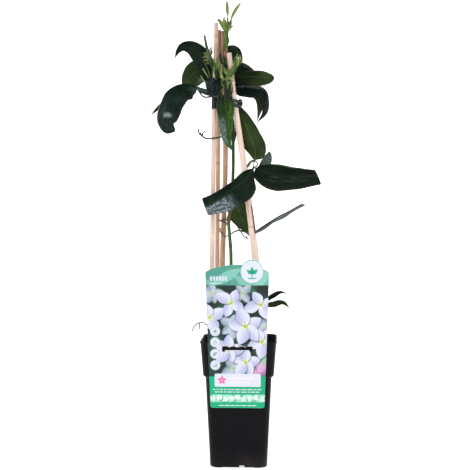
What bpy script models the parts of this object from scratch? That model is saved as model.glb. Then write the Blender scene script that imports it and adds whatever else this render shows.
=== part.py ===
"""A potted armand clematis: a tall square nursery pot filled with soil, four bamboo canes that lean
together, one climbing stem with its leathery leaves, bud shoots and clasping leaf stalks, and a
plastic picture label hooked on the pot's front.

Metres, +Z up. The origin is the middle of the pot's underside, and the label faces -Y.
Places and sizes in the tables below are millimetres, and mm() turns them into metres."""

import math

import bpy
import bmesh
from mathutils import Matrix, Vector

MM = 0.001
GAP = 0.3          # air between pieces that touch, mm

# Pot: half widths are from the axis to a flat side, mm
POT_HEIGHT = 200.0
POT_FOOT_HALF = 45.2
POT_BODY_TOP_HALF = 52.4
POT_BODY_TOP_Z = 143.0
POT_COLLAR_FOOT_HALF = 56.0
POT_COLLAR_FOOT_Z = 146.0
POT_RIM_HALF = 60.0
POT_LIP = 0.9
POT_LIP_HEIGHT = 3.0
POT_WALL = 1.5
POT_FLOOR = 1.8
POT_FOOT_CORNER = 15.0
POT_RIM_CORNER = 17.0
CORNER_STEPS = 5
NOTCH_WIDTH = 8.0
NOTCH_HEIGHT = 5.0
NOTCH_DEPTH = 14.0
NOTCH_OFFSET = 5.5
RELIEF_WIDTH = 52.0
RELIEF_HEIGHT = 1.1
RELIEF_DEPTH = 5.0

# Label, mm
LABEL_X = -1.0
LABEL_FOOT_Z = 97.0
LABEL_SHOULDER_Z = 312.0
LABEL_CROWN_Z = 322.5
LABEL_FOOT_HALF = 42.5
LABEL_TOP_HALF = 49.5
LABEL_THICK = 0.8
LABEL_CORNER = 4.0
LABEL_DISC_X = 23.0
LABEL_DISC_Z = 312.0
LABEL_DISC_RADIUS = 18.4
HOOK_MIDDLE_Z = 191.2
HOOK_X = -1.0
HOOK_HALF = 23.2
HOOK_BAR = 2.0
HOOK_STAND_OUT = 2.6
SLOT_MARGIN = 0.6

# Soil, mm
SOIL_TOP_Z = 184.0
SOIL_LUMP = 1.6
SOIL_CELLS = 12

# Climbing stem, mm
STEM_FOOT_RADIUS = 3.0
STEM_TOP_RADIUS = 1.9
STEM_SIDES = 10
STEM_LINE = [(-13, -4, 140), (-13, -4, 190), (-14, -4, 322), (-16, -4, 359), (-18, -5, 389), (-13, -4, 418),
             (-10, -4, 463), (-10, -5, 503), (-13, -5, 552), (-19, -5, 588), (-22, -5, 616), (-22.5, -4, 640)]

# Leaves
BLADE_THICK = 0.8
BLADE_STEPS = 10
BLADE_CELLS = 4
FINE = 12           # places on a midrib for each step of its blade
TIP_HALF = 1.1
SMALL_STEPS = 6
SMALL_CELLS = 4
STALK_RADIUS = 1.1
STALK_OVERRUN = 0.63
STALK_SIDES = 6
TENDRIL_STEPS = 16
CLASP_STEPS = 32
WINDING_STEPS = 58
COIL_STEPS = 10     # places for one turn of a coil
RIB_DROP = 0.37
RIB_SHARE = 0.4     # how far the stalk runs on under the blade as its midrib

# Canes: radii at the buried end and at the top, and the middle line between them, mm
CANES = {
    "cane_front_left": {"radii": (4.2, 3.2),
                        "line": [(-41.5, -33, 100), (-43, -32, 260), (-40.5, -17, 530), (-37, -4, 707)]},
    "cane_rear_left": {"radii": (3.6, 3.1),
                       "line": [(-39.5, 33, 100), (-38.5, 31, 300), (-35.5, 18, 538), (-33, 9, 698)]},
    "cane_centre": {"radii": (4.5, 3.6),
                    "line": [(-30, 9, 60), (-28, 7.5, 300), (-22.5, 5, 504), (-27, 3, 695)]},
    "cane_right": {"radii": (5.8, 4.0),
                   "line": [(37.5, -32.5, 90), (37, -32, 200), (28.3, -30, 328), (9, -22, 474),
                            (-7, -17.5, 580), (-16, -14, 657)]},
}
CANE_SIDES = 12
KNOT_SPACING = 118.0
KNOT_SWELL = 1.09
TIE_LOW_Z = 568.0
TIE_HIGH_Z = 587.0
TIE_WALL = 0.8

# One entry for each leaf: the height at which its stalk leaves the stem, the points that the stalk
# passes, and for each blade its midrib, full width, the way its upper face looks half way along,
# the angle at which its two halves rise from the midrib, and the share that is left if its tip is
# cut. "bare" is the share of the midrib before the blade begins, "slant" leans the cut end, and
# "shares" are the widths of its two sides along it, as shares of the usual ones.
LEAVES = {
    "leaf_upper_left": {
        "height": 608,
        "stalk": [(-34, 0.5, 610), (-44, 0, 612)],
        "blades": [
            {"line": [(-44, 0, 612), (-48, -2, 624), (-54, -6, 640), (-64, -10, 656), (-76, -13, 666),
                      (-89, -13, 668), (-98, -12, 661), (-103, -11, 649)],
             "width": 30, "face": (-0.45, -0.8, 0.45), "fold": -14},
            {"line": [(-44, 0, 612), (-53, 1, 619), (-61, 3, 625.5), (-71.5, 6, 627.5), (-83, 8, 620.5),
                      (-97, 7, 603.5), (-116, 4, 585), (-143.5, 1, 560)],
             "width": 33, "face": (-0.2, -0.95, 0.2), "fold": 10, "broad": 0.5,
             "shares": ([1.1, 1.05, 0.8, 0.6, 0.5, 0.5, 0.65, 0.85, 1, 1, 1],
                        [0.8, 1, 1.05, 0.68, 0.57, 0.62, 0.66, 0.72, 0.9, 1.1, 1.2])},
        ]},
    "leaf_lower_left": {
        "height": 586,
        "stalk": [(-30, -15, 588), (-41, -20, 592), (-52, -23, 594), (-61.5, -26, 597), (-67.5, -28, 600)],
        "blades": [
            {"line": [(-67.5, -28, 600), (-78, -29.5, 600), (-93, -32, 593), (-107, -36, 575.5),
                      (-112.5, -39, 556), (-111, -40, 539), (-100, -39, 531)],
             "width": 40, "face": (-0.2, -0.97, 0.15), "fold": -12, "cut": 0.93, "broad": 0.85},
        ]},
    "leaf_small_dark": {
        "height": 598,
        "stalk": [(-27, -16, 601), (-33, -20, 609), (-36.3, -23, 611)],
        "blades": [
            {"line": [(-36.3, -23, 611), (-41, -25.5, 612.5), (-46.5, -27.5, 608), (-48, -28.5, 600),
                      (-45, -28, 588)],
             "width": 18, "face": (-0.3, -0.95, 0.15), "fold": -26, "broad": 0.6, "small": True},
            {"line": [(-36.3, -23, 611), (-34.5, -27, 605), (-36.5, -30, 598), (-41, -30, 587)],
             "width": 13, "face": (0.3, -0.95, 0.1), "fold": -20, "broad": 0.6, "small": True},
        ]},
    "leaf_upper_right": {
        "height": 619,
        "stalk": [(-15, -3, 620), (-10, -2, 621)],
        "blades": [
            {"line": [(-10, -2, 621), (-13.5, 8, 638), (-18.5, 14, 654), (-17, 16, 664.5), (-12, 17, 668),
                      (-5, 18, 667), (0, 19, 661.5), (3, 20, 654), (4.5, 19, 646)],
             "width": 20, "face": (0.1, -0.8, 0.6), "fold": -10, "bare": 0.2, "shares": ([1.1], [0.9])},
            {"line": [(-10, -2, 621), (-2, 8, 634), (12, 20, 637), (28, 32, 627), (42, 44, 610)],
             "width": 26, "face": (0.1, -0.8, 0.6), "fold": -12},
            {"line": [(-10, -2, 621), (2, -12, 619), (26, -24, 618), (56, -35, 613)],
             "width": 30, "face": (0.0, -0.93, 0.36), "fold": -14, "cut": 0.9, "broad": 0.8},
        ]},
    "leaf_right_drooping": {
        "height": 603,
        "stalk": [(-13, -4, 603), (-8, -4, 604)],
        "blades": [
            {"line": [(-8, -4, 604), (1, -9, 602), (18, -15, 599.5), (36, -19, 593.5), (43.5, -20, 579.5),
                      (42, -19, 561), (28, -17, 545)],
             "width": 27, "face": (0.3, -0.8, 0.5), "fold": -18, "broad": 0.55},
            {"line": [(-8, -4, 604), (2, -1, 604), (16, 2, 604), (28, 4, 599), (34.5, 4, 588),
                      (33.5, 4, 572), (29.5, 3, 552)],
             "width": 27, "face": (0.1, -0.75, 0.65), "fold": -14, "broad": 0.5},
        ]},
    "leaf_front": {
        "height": 594,
        "stalk": [(-22.5, -15, 594), (-25, -22, 592)],
        "blades": [
            {"line": [(-25, -22, 592), (-22, -29, 581), (-20, -32, 562), (-18.4, -32, 540),
                      (-16, -30, 518), (-9, -28, 499)],
             "width": 28, "face": (-0.1, -1, 0.1), "fold": -18, "broad": 0.52,
             "shares": ([1, 0.9, 0.86, 0.95, 0.9, 0.8], [1.1, 1.1, 1.1, 1.4, 2.3, 2.8])},
        ]},
    "leaf_three_part": {
        "height": 446,
        "stalk": [(2, -5, 453), (14, -12, 463), (21, -20, 471), (24, -26, 475)],
        "blades": [
            {"line": [(24, -26, 475), (22.3, -26, 479.9), (25.7, -24, 485.5), (25.5, -16, 502),
                      (16.5, -10.5, 528), (7, -6, 551), (-1, -2, 571), (-5, 1, 582)],
             "width": 36, "face": (-0.05, -1, 0.1), "fold": -6, "bare": 0.1, "broad": 0.62,
             "shares": ([0.5, 0.85, 1, 1, 1, 1], [1.2, 1.1, 1, 1.05, 1.1, 1.1])},
            {"line": [(24, -26, 475), (22, -30, 470), (7, -38, 452), (-14, -45, 437), (-33, -46, 424),
                      (-53.2, -46, 412.6)],
             "width": 41, "face": (0.2, -0.85, 0.45), "fold": -8, "cut": 0.55, "broad": 0.5,
             "bare": 0.05, "slant": -0.1,
             "shares": ([1.0, 1.15, 1.3, 1.38, 1.28, 1.06], [0.65, 0.6, 0.55, 0.57, 0.74, 1.0])},
            {"line": [(24, -26, 475), (30.5, -30, 471.5), (41, -33, 467), (59, -36, 460), (97, -38, 458),
                      (125.5, -36, 459)],
             "width": 42, "face": (0.05, -0.9, 0.4), "fold": -14, "cut": 0.65, "broad": 0.56,
             "bare": 0.08, "slant": 0.2,
             "shares": ([1.0, 1.02, 1.02, 0.98, 1.0, 1.16], [1.05, 1.05, 1.1, 0.96, 0.94, 1.06])},
            {"line": [(24, -26, 475), (32.8, -18, 475.5), (41, -11.5, 482), (46, -5.5, 490.4),
                      (49.3, -1, 499)],
             "width": 14, "face": (-0.1, -0.9, 0.4), "fold": 8, "cut": 0.85, "broad": 0.55,
             "bare": 0.22, "small": True},
        ]},
    "leaf_behind": {
        "height": 428,
        "stalk": [(-7, -1, 430), (-5, 2, 430)],
        "blades": [
            {"line": [(-5, 2, 430), (-4, 3, 419), (1, 3.5, 401), (7.5, 3.5, 385), (15.5, 3, 367)],
             "width": 35, "face": (0.1, -1, 0.1), "fold": -10},
        ]},
    "leaf_rear_right": {
        "height": 611,
        "stalk": [(-13, 1, 613), (-8, 12, 616), (-4, 24, 619)],
        "blades": [
            {"line": [(-4, 24, 619), (2, 38, 625), (12, 60, 627), (21, 82, 618), (26, 98, 604)],
             "width": 34, "face": (0.2, 0.3, 0.93), "fold": -12},
        ]},
    "leaf_rear_left": {
        "height": 604,
        "stalk": [(-14, 4, 606), (-17, 13, 609), (-26, 21, 613), (-40, 27, 617)],
        "blades": [
            {"line": [(-40, 27, 617), (-56, 38, 621), (-78, 56, 617), (-94, 74, 600), (-101, 85, 580)],
             "width": 33, "face": (-0.4, 0.4, 0.82), "fold": -12},
        ]},
    "leaf_rear": {
        "height": 592,
        "stalk": [(-14, 2, 592), (-15, 14, 594), (-19, 24, 596)],
        "blades": [
            {"line": [(-19, 24, 596), (-23, 38, 601), (-28, 60, 597), (-31, 80, 580), (-30, 92, 558)],
             "width": 31, "face": (-0.1, 0.45, 0.88), "fold": -14},
        ]},
    "leaf_rear_low": {
        "height": 439,
        "stalk": [(-12, 3, 440), (-11, 14, 442), (-10, 26, 442)],
        "blades": [
            {"line": [(-10, 26, 442), (-8, 42, 443), (-8, 64, 437), (-9, 86, 421), (-10, 98, 406)],
             "width": 28, "face": (0, 0.4, 0.9), "fold": -12},
        ]},
}

# The leaf stalk that winds round the centre cane, passes behind the right cane and ends in a leaf
# seen from its edge. "settle" above 1 keeps the first turn nearly level.
WINDING = {"height": 391, "coil_high_z": 391, "coil_low_z": 364, "turns": 2.0, "settle": 2.6,
           "radius": 0.9,
           "after": [(-14.2, 2, 368), (-7.9, 0, 372), (-1.1, -2.5, 374), (7, -8, 372.5),
                     (16.5, -15, 370.5), (25, -20, 371), (29.5, -20.5, 373.4)],
           "blade": {"line": [(28.5, -20.2, 373), (50, -20.5, 386), (73, -19, 399), (101.5, -16, 415.3)],
                     "width": 25, "face": (-0.5, 0.19, 0.84), "fold": -6, "cut": 0.45, "broad": 0.3,
                     "slant": -0.3}}

# The short stalk that clasps the right cane, and its two swollen lobes
CLASP = {"height": 581, "before": (-12, -8, 582), "coil_high_z": 583, "coil_low_z": 571, "turns": 1.6,
         "radius": 1.4, "radii": [1.0, 1.2, 1.4, 1.5, 1.4, 1.0],
         "lobes": [(2.9, [(0.3, -17, 586), (2.7, -15.5, 581), (2.1, -14.5, 575)]),
                   (2.9, [(2, -17, 579), (4, -15.5, 574), (2.4, -14.5, 569)])]}

# Bare leaf stalks and tendrils: radius, main line and side prongs, mm
TENDRILS = {
    "tendril_left": {"height": 534, "radius": 1.1,
                     "line": [(-22, -11, 527), (-31, -19, 523), (-43, -23.5, 520.7), (-53, -25, 521),
                              (-58.6, -24.5, 525), (-63, -23, 528.5), (-64.5, -22, 535.5)],
                     "prongs": [[(-58.5, -24.5, 525), (-57, -25, 529), (-53.5, -24, 532.5)]]},
    "tendril_inner": {"height": 392, "radius": 1.0,
                      "line": [(-9, -8, 390), (-3, -9.5, 381), (3, -12, 372), (9, -15, 364), (15, -18, 361)],
                      "prongs": []},
}
LOW_TENDRIL = {"radius": 1.0, "foot": (-40, -22, 168),
               "line": [(-41, -23, 195), (-46, -27, 216), (-54, -32, 227), (-63, -35, 228),
                        (-69, -36, 224), (-74, -36, 215)],
               "prongs": [[(-62.5, -35, 228), (-62, -35.5, 223), (-61, -35, 216)]]}

# The low shoot beside the right cane, with its two small leaves
LOW_SHOOT = {"radius": 1.1,
             "line": [(20, -12, 168), (22, -12, 200), (30, -14, 226), (37, -17, 250), (41, -18, 262)],
             "blades": [{"line": [(41, -18, 262), (52, -22, 271), (66, -25, 277), (77, -25, 274)],
                         "width": 10, "face": (-0.2, -0.6, 0.8), "fold": -18, "small": True},
                        {"line": [(40, -18, 256), (52, -21, 258), (70, -24, 261), (82, -25, 250)],
                         "width": 11, "face": (0.1, -0.6, 0.8), "fold": -18, "small": True}]}

# Bud shoots: a fat stem, then buds and bracts as spindles of a given thickness, mm
TOP_SHOOT = {"line": [(-22.5, -4, 640.4), (-22, -4, 660), (-20.5, -4, 684), (-19.5, -4, 702)],
             "radii": [2.3, 3.3, 3.4, 2.9, 2.0],
             "spindles": [(1.2, [(-19.5, -4, 700), (-18.5, -4, 713), (-18.5, -4, 722)]),
                          (2.1, [(-18.5, -4, 719), (-19.5, -4, 732), (-20, -4, 742)]),
                          (1.2, [(-19.5, -4, 698), (-14, -4, 708), (-12.5, -4, 719)]),
                          (2.2, [(-13.5, -4, 714), (-6, -4, 727), (3, -3, 739)]),
                          (2.2, [(-23.5, -6, 695), (-24.5, -8, 707), (-24, -8, 717)]),
                          (1.9, [(-20, -4, 692), (-14, -6, 699), (-9, -7, 702)]),
                          (2.1, [(-20.5, -5, 688), (-22, -8, 700), (-21.5, -8, 712)]),
                          (2.0, [(-23, -5, 694), (-29, -6, 704), (-35, -7, 713)]),
                          (1.7, [(-21, -4.5, 689), (-30, -8.5, 698), (-36, -10, 705)]),
                          (1.9, [(-18, -5, 694), (-14, -7, 704), (-13, -7, 714)]),
                          (1.8, [(-20, -3, 694), (-19, 2, 704), (-16, 6, 712)])]}
LEFT_SHOOT = {"height": 618,
              "line": [(-27, -14, 619), (-35, -19, 625), (-41, -21, 634), (-46, -21, 648),
                       (-51, -19, 665), (-55, -17, 685)],
              "radii": [1.4, 2.0, 2.6, 2.5, 2.2, 1.5, 1.0],
              "spindles": [(1.7, [(-46, -21, 645), (-52, -25, 650), (-58, -25.5, 648.5)]),
                           (1.5, [(-45, -21, 641), (-51, -25, 645), (-57, -26, 643)]),
                           (1.5, [(-47, -21, 648), (-53, -25, 655), (-58, -26, 655)]),
                           (1.4, [(-44, -21, 639), (-49, -26, 640), (-53, -27, 637)]),
                           (1.4, [(-47, -22, 650), (-50, -26, 657), (-49, -27, 661)]),
                           (3.0, [(-35.5, -21, 622), (-38, -23, 634), (-41, -21, 652)]),
                           (2.4, [(-36, -20, 624), (-34, -24, 637), (-34, -24, 650)]),
                           (1.4, [(-47, -21, 650), (-43, -26, 656), (-43, -28, 663)]),
                           (1.0, [(-49, -20, 659), (-45, -19, 664), (-42, -18, 668)])]}
RIGHT_SHOOT = {"height": 608,
               "line": [(-22.5, -15, 610), (-20, -22.5, 615), (-15, -27, 624), (-9, -28, 633),
                        (-4, -28, 643)],
               "radii": [1.8, 2.7, 3.2, 3.6, 3.5, 2.7],
               "spindles": [(2.2, [(-6, -28, 638), (-3.5, -29, 650), (-2, -28, 664)]),
                            (2.6, [(-6, -28, 636), (1, -29, 648), (2, -27, 660)]),
                            (2.6, [(-8, -29, 634), (-6, -32, 646), (-5, -31, 657)]),
                            (2.2, [(-14, -27, 625), (-20, -30, 629), (-24, -31, 638)]),
                            (2.2, [(-17, -25.5, 621), (-11, -31, 619), (-6, -34, 622)]),
                            (1.8, [(-5, -28, 640), (3, -30, 645), (8, -31, 652)]),
                            (2.4, [(-19, -25, 616), (-17, -30, 626), (-16, -31, 637)]),
                            (2.4, [(-20, -21, 611), (-24, -27, 618), (-25, -29, 629)]),
                            (2.6, [(-21, -20, 609), (-15, -26, 606), (-13, -29, 600)]),
                            (2.6, [(-21, -19, 611), (-20, -25, 605), (-19, -29, 600)])]}
SPINDLE_SIDES = 6

# Linear colours and roughness of each material
FINISHES = {
    "black plastic": ((0.012, 0.012, 0.016), 0.45),
    "potting soil": ((0.035, 0.022, 0.014), 0.95),
    "bamboo": ((0.62, 0.42, 0.27), 0.55),
    "green stem": ((0.09, 0.16, 0.045), 0.55),
    "dark leaf": ((0.018, 0.05, 0.02), 0.35),
    "fresh shoot": ((0.17, 0.31, 0.06), 0.5),
    "dry stalk": ((0.09, 0.065, 0.05), 0.6),
    "printed label": ((0.62, 0.72, 0.78), 0.3),
    "black tie": ((0.012, 0.012, 0.02), 0.5),
}


def mm(point):
    return Vector(point) * MM


def clear_scene():
    for obj in list(bpy.data.objects):
        bpy.data.objects.remove(obj, do_unlink=True)


def finish(name):
    """The material of that name, made the first time it is asked for."""
    if name in bpy.data.materials:
        return bpy.data.materials[name]
    colour, roughness = FINISHES[name]
    material = bpy.data.materials.new(name)
    material.use_nodes = True
    shader = material.node_tree.nodes["Principled BSDF"]
    shader.inputs["Base Color"].default_value = (*colour, 1.0)
    shader.inputs["Roughness"].default_value = roughness
    shader.inputs["Metallic"].default_value = 0.0
    return material


def mesh_object(name, points, faces, finish_name=None, smooth=True):
    """An object from points in millimetres and faces, with its normals facing out."""
    mesh = bpy.data.meshes.new(name)
    mesh.from_pydata([mm(p) for p in points], [], faces)
    work = bmesh.new()
    work.from_mesh(mesh)
    bmesh.ops.recalc_face_normals(work, faces=work.faces)
    work.to_mesh(mesh)
    work.free()
    obj = bpy.data.objects.new(name, mesh)
    bpy.context.scene.collection.objects.link(obj)
    if finish_name:
        mesh.materials.append(finish(finish_name))
    if smooth:
        mesh.shade_smooth()
        mesh.set_sharp_from_angle(angle=math.radians(40))
    return obj


def join(target, others, operation="UNION"):
    """Joins or cuts with a Boolean on a collection, applies it and removes the other objects."""
    group = bpy.data.collections.new(target.name + "_parts")
    for other in others:
        group.objects.link(other)
    modifier = target.modifiers.new("join", "BOOLEAN")
    modifier.operation = operation
    modifier.solver = "EXACT"
    modifier.operand_type = "COLLECTION"
    modifier.collection = group
    graph = bpy.context.evaluated_depsgraph_get()
    joined = bpy.data.meshes.new_from_object(target.evaluated_get(graph))
    target.modifiers.remove(modifier)
    target.data = joined
    bpy.data.collections.remove(group)
    for other in others:
        bpy.data.objects.remove(other, do_unlink=True)
    return target


def smooth_line(points, steps):
    """steps + 1 places, evenly spaced, on a smooth curve through the points."""
    spots = [Vector(p) for p in points]
    ends = [spots[0] * 2 - spots[1]] + spots + [spots[-1] * 2 - spots[-2]]
    fine = [spots[0]]
    per_span = 16
    for i in range(1, len(ends) - 2):
        a, b, c, d = ends[i - 1], ends[i], ends[i + 1], ends[i + 2]
        for k in range(1, per_span + 1):
            t = k / per_span
            fine.append(0.5 * (2 * b + (c - a) * t + (2 * a - 5 * b + 4 * c - d) * t ** 2
                               + (3 * b - a - 3 * c + d) * t ** 3))
    lengths = [0.0]
    for a, b in zip(fine, fine[1:]):
        lengths.append(lengths[-1] + (b - a).length)
    out = []
    k = 0
    for i in range(steps + 1):
        goal = lengths[-1] * i / steps
        while k < len(fine) - 2 and lengths[k + 1] < goal:
            k += 1
        share = (goal - lengths[k]) / max(lengths[k + 1] - lengths[k], 1e-9)
        out.append(fine[k].lerp(fine[k + 1], min(1.0, share)))
    return out


def directions(line):
    """The unit direction of a line at each of its places."""
    last = len(line) - 1
    return [(line[min(i + 1, last)] - line[max(i - 1, 0)]).normalized() for i in range(last + 1)]


def carried_normals(line, face):
    """Normals that look towards face half way along and turn with the line, without twisting."""
    ways = directions(line)
    middle = len(line) // 2
    normals = [None] * len(line)
    start = Vector(face)
    normals[middle] = (start - start.project(ways[middle])).normalized()
    for order in (range(middle + 1, len(line)), range(middle - 1, -1, -1)):
        before = middle
        for i in order:
            turned = ways[before].rotation_difference(ways[i]) @ normals[before]
            normals[i] = (turned - turned.project(ways[i])).normalized()
            before = i
    return normals


def tube(name, line, radii, sides, finish_name=None):
    """A round rod along a line, with a radius at each place and flat ends."""
    ways = directions(line)
    start = Vector((0, -1, 0)) if abs(ways[len(line) // 2].y) < 0.9 else Vector((1, 0, 0))
    normals = carried_normals(line, start)
    points = []
    for place, way, normal, radius in zip(line, ways, normals, radii):
        side = way.cross(normal)
        for k in range(sides):
            turn = 2 * math.pi * k / sides
            points.append(place + (normal * math.cos(turn) + side * math.sin(turn)) * radius)
    faces = [list(range(sides)), [len(points) - sides + k for k in range(sides)]]
    for ring in range(len(line) - 1):
        for k in range(sides):
            after = (k + 1) % sides
            low, high = ring * sides, (ring + 1) * sides
            faces.append([low + k, low + after, high + after, high + k])
    return mesh_object(name, points, faces, finish_name)


def radius_along(radii, steps):
    """Values at steps + 1 places, read evenly between the given ones."""
    if len(radii) == 1:
        return radii * (steps + 1)
    out = []
    for i in range(steps + 1):
        spot = i / steps * (len(radii) - 1)
        k = min(int(spot), len(radii) - 2)
        out.append(radii[k] + (radii[k + 1] - radii[k]) * (spot - k))
    return out


def leaf_half_width(t, broad):
    """Share of the full half width at t along a blade: round near its base, drawn out to its tip."""
    s = t ** broad
    return math.sin(math.pi * min(s, 1.0)) ** (0.62 if s < 0.5 else 1.15)


def blade(name, spec, wave_phase):
    """A leaf blade as a thin solid: creased on its midrib, arched along it and waved at its margins."""
    steps, cells = (SMALL_STEPS, SMALL_CELLS) if spec.get("small") else (BLADE_STEPS, BLADE_CELLS)
    line = smooth_line(spec["line"], steps * FINE)
    ways = directions(line)
    normals = carried_normals(line, spec["face"])
    bare, cut, slant = spec.get("bare", 0.0), spec.get("cut", 1.0), spec.get("slant", 0.0)
    crease = math.tan(math.radians(spec["fold"]))
    half_width = spec["width"] / 2
    broad = spec.get("broad", 0.72)
    left, right = [radius_along(shares, steps) for shares in spec.get("shares", ([1.0], [1.0]))]
    rows = []
    for i in range(steps + 1):
        t = i / steps
        spot = round((bare + (1 - bare) * t) * steps * FINE)
        half = max(half_width * leaf_half_width(t * cut, broad), TIP_HALF)
        side = ways[spot].cross(normals[spot])
        wave = 0.045 * half * math.sin(2 * math.pi * 2.3 * t + wave_phase)
        lean = slant * half_width * max(0.0, (t - 0.6) / 0.4) ** 2
        row = []
        for j in range(cells + 1):
            u = 2 * j / cells - 1
            rise = crease * half * (math.sqrt(u * u + 0.02) - 0.1414) + wave * u * u * (1 if u > 0 else -1)
            share = right[i] if u > 0 else left[i]
            place = line[spot] + side * (half * u * share)
            row.append(place + normals[spot] * rise + ways[spot] * (lean * u))
        rows.append(row)
    return sheet_solid(name, rows, BLADE_THICK)


def sheet_solid(name, rows, thick):
    """A grid of places given a thickness, split into triangles alike on both faces."""
    count, cells = len(rows), len(rows[0])

    def normal_at(i, j):
        along = rows[min(i + 1, count - 1)][j] - rows[max(i - 1, 0)][j]
        across = rows[i][min(j + 1, cells - 1)] - rows[i][max(j - 1, 0)]
        return along.cross(across).normalized()

    upper, lower = [], []
    for i in range(count):
        for j in range(cells):
            lift = normal_at(i, j) * (thick / 2)
            upper.append(rows[i][j] + lift)
            lower.append(rows[i][j] - lift)
    points = upper + lower
    under = len(upper)
    faces = []
    for i in range(count - 1):
        for j in range(cells - 1):
            a, b = i * cells + j, i * cells + j + 1
            c, d = a + cells, b + cells
            halves = [(a, b, d), (a, d, c)] if j < (cells - 1) / 2 else [(a, b, c), (b, d, c)]
            for p, q, r in halves:
                faces += [(p, q, r), (under + p, under + r, under + q)]
    rim = list(range(cells))
    rim += [i * cells + cells - 1 for i in range(1, count)]
    rim += [(count - 1) * cells + j for j in range(cells - 2, -1, -1)]
    rim += [i * cells for i in range(count - 2, 0, -1)]
    for a, b in zip(rim, rim[1:] + rim[:1]):
        faces += [(a, under + a, under + b), (a, under + b, b)]
    return mesh_object(name, points, faces)


def line_at_height(line, z):
    """The place on a rising line at that height."""
    for a, b in zip(line, line[1:]):
        if a.z <= z <= b.z:
            return a.lerp(b, (z - a.z) / (b.z - a.z))
    return line[0] if z < line[0].z else line[-1]


def stem_line():
    return smooth_line(STEM_LINE, 28)


def stem_radius(z):
    low, high = STEM_LINE[0][2], STEM_LINE[-1][2]
    return STEM_FOOT_RADIUS + (STEM_TOP_RADIUS - STEM_FOOT_RADIUS) * (z - low) / (high - low)


def seat_on_stem(height, onwards):
    """Two places that lead level out of the stem's surface at that height, towards a point."""
    middle = line_at_height(stem_line(), height)
    way = Vector(onwards) - middle
    way.z = 0
    way.normalize()
    first = middle + way * (stem_radius(height) + GAP)
    return [first, first + way * 2.2]


def cane_radius(cane_name, z):
    foot, top = CANES[cane_name]["radii"]
    low, high = CANES[cane_name]["line"][0][2], CANES[cane_name]["line"][-1][2]
    return foot + (top - foot) * (z - low) / (high - low)


def coil(cane_name, stalk_radius, high_z, low_z, turns, start_turn, settle=1.0):
    """Places on a falling coil round a cane, just clear of it."""
    cane = CANES[cane_name]
    line = smooth_line(cane["line"], 40)
    reach = (cane_radius(cane_name, high_z) + GAP) * KNOT_SWELL + stalk_radius * 1.05
    steps = round(turns * COIL_STEPS)
    places = []
    for i in range(steps + 1):
        z = high_z + (low_z - high_z) * (i / steps) ** settle
        angle = start_turn + 2 * math.pi * turns * i / steps
        middle = line_at_height(line, z)
        places.append(middle + Vector((math.cos(angle), math.sin(angle), 0)) * reach)
    return places


def rib(name, spec, radius):
    """The stalk carried on under a blade, thinning out."""
    under = Vector(spec["face"]).normalized() * -RIB_DROP
    run = [p + under for p in smooth_line(spec["line"], 8)]
    run = run[:max(3, int(len(run) * RIB_SHARE) + 1)]
    return tube(name, run, radius_along([radius, radius * 0.75], len(run) - 1), STALK_SIDES)


def leaf(name, places, blades, radius, steps, finish_name):
    """A stalk through the places with its blades, fused in one solid."""
    line = smooth_line(places, steps)
    line[-1] = line[-1] + (line[-1] - line[-2]).normalized() * STALK_OVERRUN
    stalk = tube(name, line, [radius] * (steps + 1), STALK_SIDES, finish_name)
    parts = []
    for number, spec in enumerate(blades):
        parts.append(rib(name + "_rib", spec, radius))
        parts.append(blade(name + "_blade", spec, 1.7 * number + len(name)))
    return join(stalk, parts)


def make_leaves():
    for name, spec in LEAVES.items():
        places = seat_on_stem(spec["height"], spec["stalk"][0]) + [Vector(p) for p in spec["stalk"]]
        leaf(name, places, spec["blades"], STALK_RADIUS, 3 + 2 * len(spec["stalk"]), "dark leaf")


def turn_towards(cane_name, z, place):
    """The direction from a cane's middle at that height to a place, as an angle."""
    middle = line_at_height(smooth_line(CANES[cane_name]["line"], 40), z)
    return math.atan2(place.y - middle.y, place.x - middle.x)


def make_winding_leaf():
    spec = WINDING
    start = turn_towards("cane_centre", spec["coil_high_z"], line_at_height(stem_line(), spec["height"]))
    turned = coil("cane_centre", spec["radius"], spec["coil_high_z"], spec["coil_low_z"], spec["turns"],
                  start, spec["settle"])
    places = seat_on_stem(spec["height"], turned[0]) + turned + [Vector(p) for p in spec["after"]]
    leaf("leaf_edge_on", places, [spec["blade"]], spec["radius"], WINDING_STEPS, "dark leaf")


def make_clasp():
    spec = CLASP
    before = Vector(spec["before"])
    start = turn_towards("cane_right", spec["coil_high_z"], before) + 0.6
    turned = coil("cane_right", spec["radius"], spec["coil_high_z"], spec["coil_low_z"], spec["turns"], start)
    line = smooth_line(seat_on_stem(spec["height"], before) + [before] + turned, CLASP_STEPS)
    clasp = tube("stalk_clasp", line, radius_along(spec["radii"], CLASP_STEPS), STALK_SIDES, "dark leaf")
    join(clasp, [spindle("lobe", thick, places) for thick, places in spec["lobes"]])


def make_tendrils():
    specs = [(name, seat_on_stem(spec["height"], spec["line"][0]), spec) for name, spec in TENDRILS.items()]
    specs.append(("tendril_low", [Vector(LOW_TENDRIL["foot"])], LOW_TENDRIL))
    for name, start, spec in specs:
        line = smooth_line(start + [Vector(p) for p in spec["line"]], TENDRIL_STEPS)
        radii = radius_along([spec["radius"], spec["radius"] * 0.7], TENDRIL_STEPS)
        main = tube(name, line, radii, STALK_SIDES, "dry stalk")
        prongs = [tube(name + "_prong", smooth_line(prong, 5), [spec["radius"] * 0.7] * 6, STALK_SIDES)
                  for prong in spec["prongs"]]
        if prongs:
            join(main, prongs)


def make_low_shoot():
    spec = LOW_SHOOT
    leaf("low_shoot", [Vector(p) for p in spec["line"]], spec["blades"], spec["radius"], 12, "dark leaf")


def spindle(name, thick, line):
    """A bud or a bract: a rod that swells and then draws to a point."""
    shares = [0.45, 0.85, 1.0, 0.95, 0.7, 0.2]
    places = smooth_line(line, len(shares) - 1)
    return tube(name, places, [thick * share for share in shares], SPINDLE_SIDES)


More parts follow.
